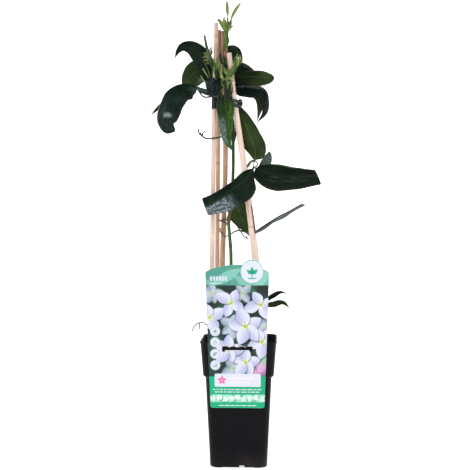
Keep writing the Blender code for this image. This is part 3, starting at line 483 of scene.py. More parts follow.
def makeStage():
    setup = stageSetup
    camera = newObject("photoCamera", bpy.data.cameras.new("photoCamera"))
    camera.location = cameraSetup["place"]
    camera.rotation_euler = facing(camera.location, cameraSetup["target"])
    camera.data.lens = cameraSetup["lens"]
    camera.data.sensor_width = 36.0
    camera.data.clip_start = 0.01
    bpy.context.scene.camera = camera
    bend, flatReach = setup["bend"], setup["floorRadius"] - setup["bend"]
    profile = [(0.0, 0.0), (0.4, 0.0), (1.0, 0.0), (flatReach, 0.0)]
    for k in range(1, 9):
        turn = math.pi / 2 * k / 8
        profile.append((flatReach + bend * math.sin(turn), bend * (1 - math.cos(turn))))
    profile.append((setup["floorRadius"], setup["wallHeight"]))
    around = [(math.cos(turn), math.sin(turn)) for turn in turnsAround(96)]
    rows = [[Vector((radius * x, radius * y, height)) / mm for x, y in around] for radius, height in profile]
    pale = plainFinish("paleFloor", setup["colour"], 0.8, 40.0, 0.0, 0.005, 0.0)
    glow = pale.node_tree.nodes["Principled BSDF"].inputs
    glow["Emission Color"].default_value = (1.0, 1.0, 1.0, 1.0)
    glow["Emission Strength"].default_value = setup["glow"]
    floor = buildPiece("studioFloor", [gridShell(rows, closed=True)], [pale], weld=False)
    bpy.context.scene.view_settings.view_transform = "Standard"
    world = bpy.data.worlds.new("softSky")
    bpy.context.scene.world = world
    world.use_nodes = True
    sky = world.node_tree.nodes["Background"].inputs
    sky["Color"].default_value = (1.0, 1.0, 1.0, 1.0)
    sky["Strength"].default_value = setup["skyStrength"]
    for lamp in lamps:
        light = bpy.data.lights.new(lamp["name"], "AREA")
        light.shape = "DISK"
        light.size = lamp["size"]
        light.energy = lamp["power"]
        light.color = lamp["tint"]
        stand = newObject(lamp["name"], light)
        stand.location = lamp["place"]
        stand.rotation_euler = facing(stand.location, (0, 0, 0.4))


makeStage()
print("stage ready")


# Pot: half is the distance from the axis to a flat side, corner the radius at that height

potShape = {
    "profile": [(43.2, 13.0, 0.0), (44.6, 14.4, 0.35), (45.2, 15.0, 1.6), (48.7, 15.7, 70.0),
        (52.3, 16.4, 141.6), (52.6, 16.5, 142.6), (55.4, 16.5, 145.4), (56.0, 16.5, 146.4),
        (56.1, 16.6, 148.0), (59.6, 16.9, 195.2), (59.8, 17.0, 196.9), (60.5, 17.6, 197.3),
        (60.9, 17.9, 198.0), (60.9, 17.9, 199.3), (60.5, 17.5, 199.9), (59.7, 16.7, 200.0),
        (58.9, 15.9, 199.8), (58.5, 15.5, 198.9), (54.5, 15.1, 148.0), (50.9, 15.0, 142.0),
        (47.2, 14.4, 70.0), (44.0, 13.6, 7.2), (43.0, 12.6, 6.2)], "cornerSteps": 14,
    "notch": {"width": 8.0, "height": 4.1, "depth": 6.0, "offset": 5.5},
    "relief": {"width": 52.0, "height": 1.1, "depth": 5.0, "offset": 0.0}, "cutFrom": -47.2,
    "hollow": [(42.8, 12.6, -1.0), (42.8, 12.6, 3.6), (42.0, 11.8, 4.4)], "black": (9, 8, 13),
    "scuff": (34, 32, 40), "dust": (52, 47, 43), "roughness": 0.46, "collarFrom": 146.0,
    "collarHalf": 56.0, "collarLean": 4.0 / 54.0,
}
hookShape = {
    "x": -1.0, "z": 191.2, "half": 23.2, "bar": 2.0, "standOut": 2.6, "endWidth": 3.2, "endDrop": 4.6,
    "shoulder": 7.5, "bump": 1.3, "bumpHalf": 3.2, "bumpPlace": 6.5, "sunk": 0.75, "edge": 0.45,
}


def squareRing(half, corner, z, steps):
    ring, inset = [], half - corner
    for quarter, (sx, sy) in enumerate(((1, 1), (-1, 1), (-1, -1), (1, -1))):
        for k in range(steps + 1):
            turn = math.pi / 2 * (quarter + k / steps)
            x, y = sx * inset + corner * math.cos(turn), sy * inset + corner * math.sin(turn)
            ring.append(Vector((x, y, z)))
    return ring


def potFinish():
    shape = potShape
    desk = NodeDesk("blackPotPlastic")
    patch = desk.mottle(14.0, 5.0, 0.6)
    scratch = desk.streaks(desk.spot(), (30.0, 30.0, 260.0), 1.0, 4.0)
    flow = desk.streaks(desk.spot(), (60.0, 60.0, 5.0), 1.0, 3.0)
    height = desk.split(desk.spot())[2]
    dust = desk.band(height, 0.0, 0.03, 0.5, 0.0)
    worn = desk.times(desk.band(scratch, 0.62, 0.72), desk.band(patch, 0.45, 0.7))
    colour = desk.blend(desk.times(worn, 0.35), shade(*shape["black"]), shade(*shape["scuff"]))
    colour = desk.tint(colour, dust, shape["dust"], desk.band(patch, 0.4, 0.7))
    satin = shape["roughness"]
    rough = desk.plus(desk.band(flow, 0.3, 0.7, satin - 0.05, satin + 0.07), desk.times(worn, 0.2))
    grain = desk.plus(desk.mottle(1400.0, 2.0), desk.times(flow, 0.6))
    return desk.done(colour, rough, grain, 0.12, 0.0003, Specular_IOR_Level=0.08)


def hookOutline(margin=0.0):
    # a bar with two low bumps on top and a short foot at each end; margin is for the slot round it
    h = hookShape
    half, endWidth, shoulder = h["half"] + margin, h["endWidth"] + 2 * margin, h["shoulder"] + 2 * margin
    under, foot, rim = h["z"] - h["bar"] - margin, h["z"] - h["endDrop"] - margin, h["z"] + h["bar"] + margin
    dip, rise = rim - 0.3, rim + 1.0
    top = [(-half, rise), (-half + shoulder, rise), (-half + shoulder + 1, dip)]
    for place in (-h["bumpPlace"], h["bumpPlace"]):
        for k in range(8, -1, -1):
            turn = math.pi * k / 8
            top.append((place + (h["bumpHalf"] + margin) * math.cos(turn), dip + h["bump"] * math.sin(turn)))
    top += [(half - shoulder - 1, dip), (half - shoulder, rise), (half, rise)]
    low = [(half, foot), (half - endWidth, foot), (half - endWidth, under),
           (-half + endWidth, under), (-half + endWidth, foot), (-half, foot)]
    return [(h["x"] + x, z) for x, z in top + low]


def collarFace(z):
    shape = potShape
    return -(shape["collarHalf"] + shape["collarLean"] * (max(z, shape["collarFrom"]) - shape["collarFrom"]))


def plateObject(name, outline, frontAt, backAt, bevel=0.0):
    # a plate from an outline in x and z, with its depths given by height
    work = bmesh.new()
    front = [work.verts.new(Vector((x, frontAt(z), z)) * mm) for x, z in outline]
    back = [work.verts.new(Vector((x, backAt(z), z)) * mm) for x, z in outline]
    work.faces.new(front)
    work.faces.new(back[::-1])
    for k in range(len(outline)):
        after = (k + 1) % len(outline)
        work.faces.new((front[after], front[k], back[k], back[after]))
    bmesh.ops.recalc_face_normals(work, faces=work.faces)
    mesh = bpy.data.meshes.new(name)
    work.to_mesh(mesh)
    work.free()
    piece = newObject(name, mesh)
    if bevel:
        soften = piece.modifiers.new("soften", "BEVEL")
        soften.width = bevel * mm
        soften.segments = 2
        soften.limit_method = "ANGLE"
        soften.angle_limit = math.radians(35)
    return piece


def boxCutter(cut, quarterTurns):
    # a block through the foot of one side
    work = bmesh.new()
    bmesh.ops.create_cube(work, size=1.0)
    low = (cut["offset"] - cut["width"] / 2, potShape["cutFrom"], -1)
    high = (cut["offset"] + cut["width"] / 2, potShape["cutFrom"] + cut["depth"], cut["height"])
    for v in work.verts:
        v.co = Vector([(low[i] + high[i]) / 2 + v.co[i] * (high[i] - low[i]) for i in range(3)]) * mm
    mesh = bpy.data.meshes.new("footCutter")
    work.to_mesh(mesh)
    work.free()
    piece = newObject("footCutter", mesh)
    piece.rotation_euler.z = quarterTurns * math.pi / 2
    return piece


def combine(piece, others, operation):
    # Boolean on a collection, applied, and the other objects removed
    group = bpy.data.collections.new("tools")
    for other in others:
        group.objects.link(other)
    bpy.context.view_layer.update()
    step = piece.modifiers.new("combine", "BOOLEAN")
    step.operation = operation
    step.solver = "EXACT"
    step.operand_type = "COLLECTION"
    step.collection = group
    applyModifiers(piece)
    bpy.data.collections.remove(group)
    for other in others:
        bpy.data.objects.remove(other, do_unlink=True)


def makePot():
    shape = potShape
    rings = [squareRing(*ring, shape["cornerSteps"]) for ring in shape["profile"]]
    pot = buildPiece("nurseryPot", closedRings(rings), [potFinish()])
    rings = [squareRing(*ring, shape["cornerSteps"]) for ring in shape["hollow"]]
    cutters = [buildPiece("hollowCutter", closedRings(rings), [])]
    for quarter in range(4):
        cutters += [boxCutter(shape["notch"], quarter), boxCutter(shape["relief"], quarter)]
    combine(pot, cutters, "DIFFERENCE")
    hook = plateObject("hook", hookOutline(), lambda z: collarFace(z) - hookShape["standOut"] - 0.4,
                       lambda z: collarFace(z) + hookShape["sunk"], hookShape["edge"])
    applyModifiers(hook)
    combine(pot, [hook], "UNION")
    pot.data.shade_smooth()
    pot.data.set_sharp_from_angle(angle=math.radians(32))
    belongs(pot, "pot")


makePot()
print("pot made")


# Soil: a crumbly top with bark chips and pale grit, over a plain plug

soilShape = {
    "top": 183.2, "half": 56.6, "cells": 46, "corner": 0.085, "spread": 54.0, "seed": 7,
    # hills: height, how close they stand, and where they start
    "hills": [(1.6, 0.045, 3.1), (0.9, 0.16, 7.7), (0.5, 0.5, 1.7)],
    "lump": 1.32, "edgeFrom": 0.8, "edgeDrop": 4.8,
    "plug": [(43.2, 12.8, 8.0), (46.8, 14.0, 70.0), (50.4, 14.6, 141.4), (54.0, 14.7, 148.4),
        (56.4, 14.8, 178.0)],
    # kinds of crumb: how many, smallest, largest, finish
    "crumbs": [("crumb", 420, 0.7, 2.3, 0), ("chip", 34, 2.2, 4.0, 1), ("grit", 46, 0.5, 1.2, 2)],
    "dark": (30, 22, 17), "light": (74, 54, 38), "bark": (92, 60, 38), "gritColour": (205, 200, 190)}


def soilHeight(x, y):
    shape = soilShape
    rise = sum(height * noise.noise((x * close, y * close, start)) for height, close, start in shape["hills"])
    edge = max(abs(x), abs(y)) / shape["half"]
    return shape["top"] + shape["lump"] * rise - shape["edgeDrop"] * max(0.0, edge - shape["edgeFrom"])


def crumbShell(middle, size, seed, finish, stretch=(1, 1, 1)):
    work = bmesh.new()
    bmesh.ops.create_icosphere(work, subdivisions=1, radius=1.0)
    shell = newShell(finish)
    for v in work.verts:
        push = 1 + 0.45 * noise.noise(v.co * 1.3 + Vector((seed * 3.7, seed * 1.3, 0)))
        shell["points"].append(middle + Vector([v.co[i] * size * push * stretch[i] for i in range(3)]))
    shell["faces"] = [tuple(v.index for v in f.verts) for f in work.faces]
    shell["uvs"] = [((0, 0), (1, 0), (0, 1))] * len(shell["faces"])
    work.free()
    return shell


def makeSoil():
    shape = soilShape
    rng = random.Random(shape["seed"])
    rows, cells, half = [], shape["cells"], shape["half"]
    for i in range(cells + 1):
        row = []
        for j in range(cells + 1):
            x, y = 2 * j / cells - 1, 2 * i / cells - 1
            # pulls the square grid's corners in to the pot's rounded corners
            pull = 1 - shape["corner"] * (abs(x) * abs(y)) ** 4
            x, y = x * half * pull, y * half * pull
            row.append(Vector((x, y, soilHeight(x, y))))
        rows.append(row)
    plug = [squareRing(*ring, 6) for ring in shape["plug"]]
    shells = [gridShell(rows), gridShell(plug, closed=True), capShell(plug[0], flip=True)]
    for kind, count, low, high, finish in shape["crumbs"]:
        for k in range(count):
            x, y = (rng.uniform(-shape["spread"], shape["spread"]) for axis in range(2))
            size = rng.uniform(low, high)
            if kind == "chip":
                flat = (rng.uniform(0.7, 1.5), rng.uniform(0.7, 1.5), rng.uniform(0.25, 0.4))
            else:
                flat = (1, 1, rng.uniform(0.6, 1))
            middle = Vector((x, y, soilHeight(x, y) + size * 0.2))
            shells.append(crumbShell(middle, size, rng.random() * 9, finish, flat))
    desk = NodeDesk("pottingSoil")
    patch = desk.mottle(160.0, 5.0, 0.65)
    fine = desk.mottle(900.0, 3.0)
    colour = desk.twoTone(shape, desk.band(patch, 0.35, 0.75))
    finishes = [desk.done(colour, 0.95, fine, 0.8, 0.001, Specular_IOR_Level=0.15),
                plainFinish("barkChip", shape["bark"], 0.85, 500.0, 0.5, 0.5, 0.2),
                plainFinish("paleGrit", shape["gritColour"], 0.8, 700.0, 0.3, 0.2, 0.2)]
    buildPiece("pottingSoil", shells, finishes, "soil", "soil", weld=False)


makeSoil()
print("soil made")


# Canes: line and radii as in the solids, with knots along them

canes = {
    "cane_front_left": {"radii": (4.2, 3.2),
        "line": [(-41.3, -33, 100), (-42.7, -32, 260), (-40.2, -17, 530), (-37, -4, 707)],
        "look": "pinkBamboo", "firstKnot": 71.0, "spacing": 256.0},
    "cane_rear_left": {"radii": (4.0, 3.3),
        "line": [(-39.3, 33, 100), (-37.7, 31, 300), (-35.1, 18, 538), (-33, 9, 698)], "look": "tanBambooInShade",
        "firstKnot": 150.0, "spacing": 231.0},
    "cane_centre": {"radii": (4.9, 3.7),
        "line": [(-30, 9, 60), (-28.2, 7.5, 300), (-22.6, 5, 504), (-27, 3, 695)], "look": "brownBamboo",
        "firstKnot": 112.0, "spacing": 238.0},
    "cane_right": {"radii": (7.3, 3.9),
        "line": [(37, -32.5, 90), (35.8, -32, 200), (26.8, -30, 328), (8.4, -22, 474), (-7, -17.5, 580),
            (-16, -14, 657)], "look": "creamBamboo", "firstKnot": 71.0, "spacing": 217.0},
}
# each look also gives how deep the painted shade down one side of the cane is, and for most, how much darker
# the top grows
caneLooks = {
    "pinkBamboo": {"dark": (196, 164, 146), "light": (222, 198, 186), "streak": (176, 132, 106),
        "pore": (118, 78, 58), "bloom": (232, 212, 200), "worn": 0.6, "topDarkening": 0.5},
    "creamBamboo": {"dark": (206, 178, 162), "light": (228, 208, 198), "streak": (188, 148, 124),
        "pore": (112, 76, 58), "bloom": (236, 220, 210), "worn": 0.4},
    # the rear left cane's own tan, darkened partly as painted shade from the front left cane
    "tanBambooInShade": {"dark": (168, 130, 102), "light": (206, 174, 148), "streak": (126, 86, 62),
        "pore": (78, 50, 38), "bloom": (216, 192, 170), "worn": 0.8, "topDarkening": 0.65},
    "brownBamboo": {"dark": (152, 110, 82), "light": (198, 160, 130), "streak": (108, 72, 52),
        "pore": (68, 44, 34), "bloom": (204, 176, 150), "worn": 0.85, "topDarkening": 0.7},
}
knotShape = {
    "swell": 1.06, "width": 2.4, "groove": 0.55, "grooveWidth": 0.9, "grooveAt": 3.1, "deepest": -0.4,
    "softness": 0.95,
}


def caneLine(name, steps=60):
    return smoothLine(canes[name]["line"], steps)


def caneRadius(name, z):
    low, high = canes[name]["line"][0][2], canes[name]["line"][-1][2]
    foot, top = canes[name]["radii"]
    return foot + (top - foot) * (z - low) / (high - low)


def makeCanes():
    cutEnd = plainFinish("cutBamboo", (176, 140, 104), 0.8, 900.0, 0.4, 0.35, 0.2)
    pith = plainFinish("canePith", (96, 70, 48), 0.9, 900.0, 0.4, 0.35, 0.1)
    knot, sides = knotShape, 20
    for number, (name, cane) in enumerate(canes.items()):
        line = caneLine(name, 260)
        length = sum((b - a).length for a, b in zip(line, line[1:]))
        foot, top = cane["radii"]
        knots = []
        spot = cane["firstKnot"]
        while spot < length - 30:
            knots.append(spot)
            spot += cane["spacing"]
        radii = []
        for i in range(len(line)):
            along = length * i / (len(line) - 1)
            swell = 0.0
            for k in knots:
                groove = math.exp(-((along - k - knot["grooveAt"]) / knot["grooveWidth"]) ** 2)
                swell += math.exp(-((along - k) / knot["width"]) ** 2) - knot["groove"] * groove
            grow = 1 + (knot["swell"] - 1) * max(knot["deepest"], swell) * knot["softness"]
            radii.append((foot + (top - foot) * along / length) * grow)
        rings = ringsAlong(line, radii, sides, 0.035, 0, number * 5.3)
        reach = [length * i / (len(line) - 1) * 0.01 for i in range(len(line))]
        uvs = [[(j / sides, r) for j in range(sides + 1)] for r in reach]
        shells = [gridShell(rings, 0, True, uvs)]
        # the sawn end: a chamfer, a pale wall and a sunken pith
        end, way = line[-1], headings(line)[-1]
        rims = [rings[-1]]
        for share, drop in ((0.93, 0.35), (0.5, 0.3), (0.42, -0.6)):
            rims.append([end + (p - end) * share + way * (drop - 0.35) for p in rings[-1]])
        shells += [gridShell(rims[:2], 1, True), gridShell(rims[1:3], 1, True), gridShell(rims[2:], 2, True),
                   capShell(rims[-1], 2), capShell(rings[0], 1, flip=True)]
        skin = bambooFinish("bamboo_" + name, caneLooks[cane["look"]], cane)
        buildPiece("bamboo_" + name, shells, [skin, cutEnd, pith], name, "cane", sharpAngle=50)


tieShape = {
    "low": 568.0, "high": 587.0, "gap": 0.3, "thick": 0.62, "steps": 24, "sides": 28, "flapTurn": 20,
    "flapFrom": 7, "colour": (20, 20, 26),
}


def makeTie():
    # a band of tape wound round the front left cane, with its lapped end
    shape = tieShape
    line = caneLine("cane_front_left")
    low, high = atHeight(line, shape["low"]), atHeight(line, shape["high"])
    inner = caneRadius("cane_front_left", shape["low"]) * knotShape["swell"] + shape["gap"]
    way = (high - low).normalized()
    count, sides = shape["steps"] + 1, shape["sides"]
    places = [low.lerp(high, k / shape["steps"]) for k in range(count)]
    skin = inner + shape["thick"]
    folds = [skin + 0.14 * math.cos(k * 1.75) + 0.05 * math.sin(k * 3.1) for k in range(count)]
    outer = ringsAlong(places, folds, sides)
    lining = ringsAlong(places, [inner] * count, sides)
    walls = (outer, lining, [outer[0], lining[0]], [outer[-1], lining[-1]])
    shells = [gridShell(rings, closed=True) for rings in walls]
    side = way.cross(Vector((0, -1, 0))).normalized()
    front = way.cross(side).normalized()
    flap = []
    for i in range(7):
        turn = math.radians(shape["flapTurn"] + i * 11)
        out = (side * math.cos(turn) - front * math.sin(turn)) * (inner + 0.75 + 0.035 * i)
        flap.append([low + way * (shape["flapFrom"] + k * 1.1) + out for k in range(6)])
    shells.append(gridShell(flap))
    tape = plainFinish("blackTape", shape["colour"], 0.42, 500.0, 0.2, 0.3, 0.4)
    buildPiece("tieBand", shells, [tape], "cane_tie", "tie", sharpAngle=60)


makeCanes()
makeTie()
print("canes made")


# Climbing stem: swollen joints where leaves grow, six soft ribs

stemShape = {
    "line": [(-13, -4, 140), (-13, -4, 190), (-13.2, -4, 322), (-14.9, -4, 359), (-17, -5, 389),
        (-13, -4, 418), (-10.1, -4, 463), (-9.6, -5, 503), (-11.2, -5, 552), (-19, -5, 588), (-22, -5, 616),
        (-22.5, -4, 640)],
    "footRadius": 3.2, "topRadius": 2.5,
    # joints: height, and how much thicker the stem is there
    "joints": [(350, 0.1), (391, 0.3), (395, 0.25), (429, 0.12), (442, 0.12), (519, 0.3), (525, 0.3),
        (531, 0.3), (537, 0.3), (543, 0.3), (549, 0.3), (588, 0.12), (600, 0.1), (612, 0.1)],
    "jointHalf": 3.4, "ribs": 6,
    "strand": [(-12, -4, 583), (-6.5, -3.5, 570), (-4.5, -4, 550), (-5, -4.5, 532), (-9, -5, 514)],
    "strandRadii": [1.2, 2.0, 2.0, 1.4],
    "look": {"dark": (40, 62, 30), "light": (84, 110, 56), "patch": (92, 74, 50), "patchShow": 0.45,
             "high": (24, 46, 28), "highFrom": (0.43, 0.49), "knot": (104, 82, 58), "knotZ": 0.394},
}


def stemLine():
    return smoothLine(stemShape["line"], 28)


def stemRadius(z):
    shape = stemShape
    low, high = shape["line"][0][2], shape["line"][-1][2]
    return shape["footRadius"] + (shape["topRadius"] - shape["footRadius"]) * (z - low) / (high - low)


def makeStem():
    shape = stemShape
    line, half = smoothLine(stemLine(), 220), shape["jointHalf"]
    radii = []
    for p in line:
        swell = sum(share * math.exp(-((p.z - joint) / half) ** 2) for joint, share in shape["joints"])
        radii.append(stemRadius(p.z) * (0.97 + swell))
    bark = stalkFinish("vineBark", shape["look"])
    shells = tubeShells(line, radii, 18, 0, None, 0.03, shape["ribs"])
    shells += taperedTube(shape["strand"], shape["strandRadii"], 60, 12, wobble=0.08)
    buildPiece("climbingStem", shells, [bark], "vine_stem", "stem")


makeStem()
print("stem made")


# Leaves: looks first, then one entry for each leaf as in the solids. A patch fades in and out between
# the four shares of the blade's length (along) and width (across), and lies everywhere without them.
# Gloss is roughness and specular level.

leafLooks = {
    "deep": {"dark": (6, 17, 8), "light": (14, 35, 17), "vein": (34, 60, 36), "gloss": (0.34, 0.08)},
    "night": {"dark": (5, 12, 9), "light": (10, 24, 17), "vein": (30, 50, 40), "gloss": (0.32, 0.1),
        "patches": [
            # painted sheen: a grey-blue mottled patch over the dark blade
            {"colour": (46, 70, 76), "along": (0.25, 0.4, 0.8, 1.0), "across": (0.1, 0.3, 0.5, 0.7),
                "cloud": (0.5, 0.7), "least": 0.0, "show": 0.5}]},
    "blue": {"dark": (6, 19, 13), "light": (13, 35, 24), "vein": (34, 60, 48), "gloss": (0.27, 0.13),
        "patches": [
            # painted highlight: a small soft bright spot across the middle of the blade
            {"colour": (150, 170, 166), "along": (0.57, 0.615, 0.625, 0.67),
                "across": (0.24, 0.42, 0.58, 0.72), "grain": (5.0, 30.0),
                "cloud": (0.3, 0.6), "least": 0.2, "show": 0.8},
            {"colour": (30, 52, 46), "along": (0.2, 0.4, 0.8, 1.0), "across": (0.1, 0.3, 0.6, 0.9),
                "cloud": (0.35, 0.75), "least": 0.0, "show": 0.4}]},
    "teal": {"dark": (6, 18, 19), "light": (20, 42, 44), "vein": (56, 80, 80), "gloss": (0.34, 0.14)},
    "olive": {"dark": (27, 40, 16), "light": (48, 64, 32), "vein": (92, 112, 70), "gloss": (0.5, 0.07)},
    "rich": {"dark": (6, 17, 8), "light": (13, 34, 17), "vein": (32, 58, 36), "gloss": (0.34, 0.08),
        "patches": [
            # painted sheen: a pale streaky patch near the foot of one half of the blade
            {"colour": (96, 118, 112), "along": (0.1, 0.22, 0.4, 0.62), "across": (0.5, 0.56, 0.66, 0.8),
                "grain": (30.0, 5.0), "cloud": (0.5, 0.72), "least": 0.0, "show": 0.45},
            {"colour": (44, 38, 24), "along": (0.0, 0.1, 0.6, 0.66), "across": (0.9, 0.97, 2.0, 3.0),
                "show": 0.6}]},
    "bright": {"dark": (15, 38, 8), "light": (36, 68, 20), "vein": (92, 124, 66), "base": (12, 30, 8),
        "gloss": (0.36, 0.08), "net": 0.3, "side": 0.2,
        "patches": [
            {"colour": (62, 100, 28), "along": (0.1, 0.3, 0.7, 0.95), "across": (-2.0, -1.0, 0.3, 0.5),
                "grain": (5.0, 9.0), "cloud": (0.36, 0.6), "least": 0.1, "show": 0.7},
            # painted highlight: a pale gloss streak down the lower part of one half
            {"colour": (120, 144, 140), "along": (0.36, 0.52, 0.78, 0.92),
                "across": (0.52, 0.62, 2.0, 3.0), "grain": (14.0, 12.0),
                "cloud": (0.38, 0.66), "least": 0.05, "show": 0.7}]},
    "bloomy": {"dark": (7, 20, 12), "light": (15, 38, 22), "vein": (44, 74, 52), "gloss": (0.34, 0.1),
        "patches": [
            # painted sheen: a pale blue-grey mottled patch over one half of the blade
            {"colour": (128, 138, 148), "along": (0.27, 0.4, 0.9, 1.0), "across": (-1.0, 0.0, 0.36, 0.47),
                "grain": (9.0, 24.0), "cloud": (0.38, 0.62), "least": 0.15, "show": 0.9}]},
    "grey": {"dark": (60, 70, 70), "light": (104, 114, 110), "vein": (122, 136, 128), "gloss": (0.55, 0.12),
        "patches": [{"colour": (40, 52, 44), "cloud": (0.42, 0.6), "least": 0.0, "show": 0.8}]},
    "dusky": {"dark": (24, 37, 15), "light": (46, 62, 31), "vein": (84, 104, 62), "gloss": (0.5, 0.07),
        "patches": [
            {"colour": (8, 16, 8), "along": (-2.0, -1.0, 0.3, 0.62), "cloud": (0.1, 0.5), "least": 0.5,
                "show": 0.85}]},
    "moss": {"dark": (38, 54, 24), "light": (64, 84, 44), "vein": (100, 120, 76), "gloss": (0.5, 0.07)},
    "under": {"dark": (44, 62, 40), "light": (66, 88, 58), "vein": (112, 132, 90), "gloss": (0.6, 0.1),
        "groove": -0.6},
    "greyUnder": {"dark": (62, 72, 64), "light": (88, 98, 88), "vein": (104, 114, 100),
        "gloss": (0.6, 0.1), "groove": -0.6,
        "patches": [
            {"colour": (20, 28, 26), "across": (0.6, 0.72, 2.0, 3.0), "cloud": (0.0, 0.2), "least": 0.9,
                "show": 0.95}]},
}
finishes = {name: leafFinish(name + "Leaf", look) for name, look in leafLooks.items()}
stalkLooks = {
    "stalk": ("leafStalk",
        {"dark": (36, 50, 28), "light": (66, 84, 46), "patch": (70, 46, 34), "patchShow": 0.6}),
    "woodyStalk": ("woodyStalk",
        {"dark": (66, 48, 38), "light": (120, 104, 88), "patch": (128, 132, 124), "patchShow": 0.7}),
    "paleStalk": ("paleStalk",
        {"dark": (104, 122, 76), "light": (168, 180, 128), "patch": (90, 84, 50), "patchShow": 0.4}),
    "darkStalk": ("darkStalk",
        {"dark": (20, 32, 30), "light": (52, 70, 66), "patch": (46, 36, 30), "patchShow": 0.6}),
}
for key, (name, look) in stalkLooks.items():
    finishes[key] = stalkFinish(name, look)

bladeShape = {
    "steps": 56, "cells": 16, "fine": 240, "thick": 0.55, "edgeThin": 0.5, "curlDown": 0.12, "puff": 0.008,
    "wave": 0.05, "waves": 2.3, "sideLag": 1.1, "soften": 0.02, "creaseFoot": 0.1414, "tip": 0.25,
    "slantFrom": 0.6, "footPull": 0.1, "footLength": 0.14, "stalkRadius": 1.05, "ribShare": 0.62,
    "ribDepth": 0.45,
}

# Each leaf: where it leaves the stem, its stalk, any loops of the stalk (thickness and places), and its
# blades. A blade starts at the stalk's end. Its face is where its upper side looks, fold the angle of
# its sides, broad and cut move its widest place, bare is the part without blade, and shares widen its
# two sides from foot to tip.

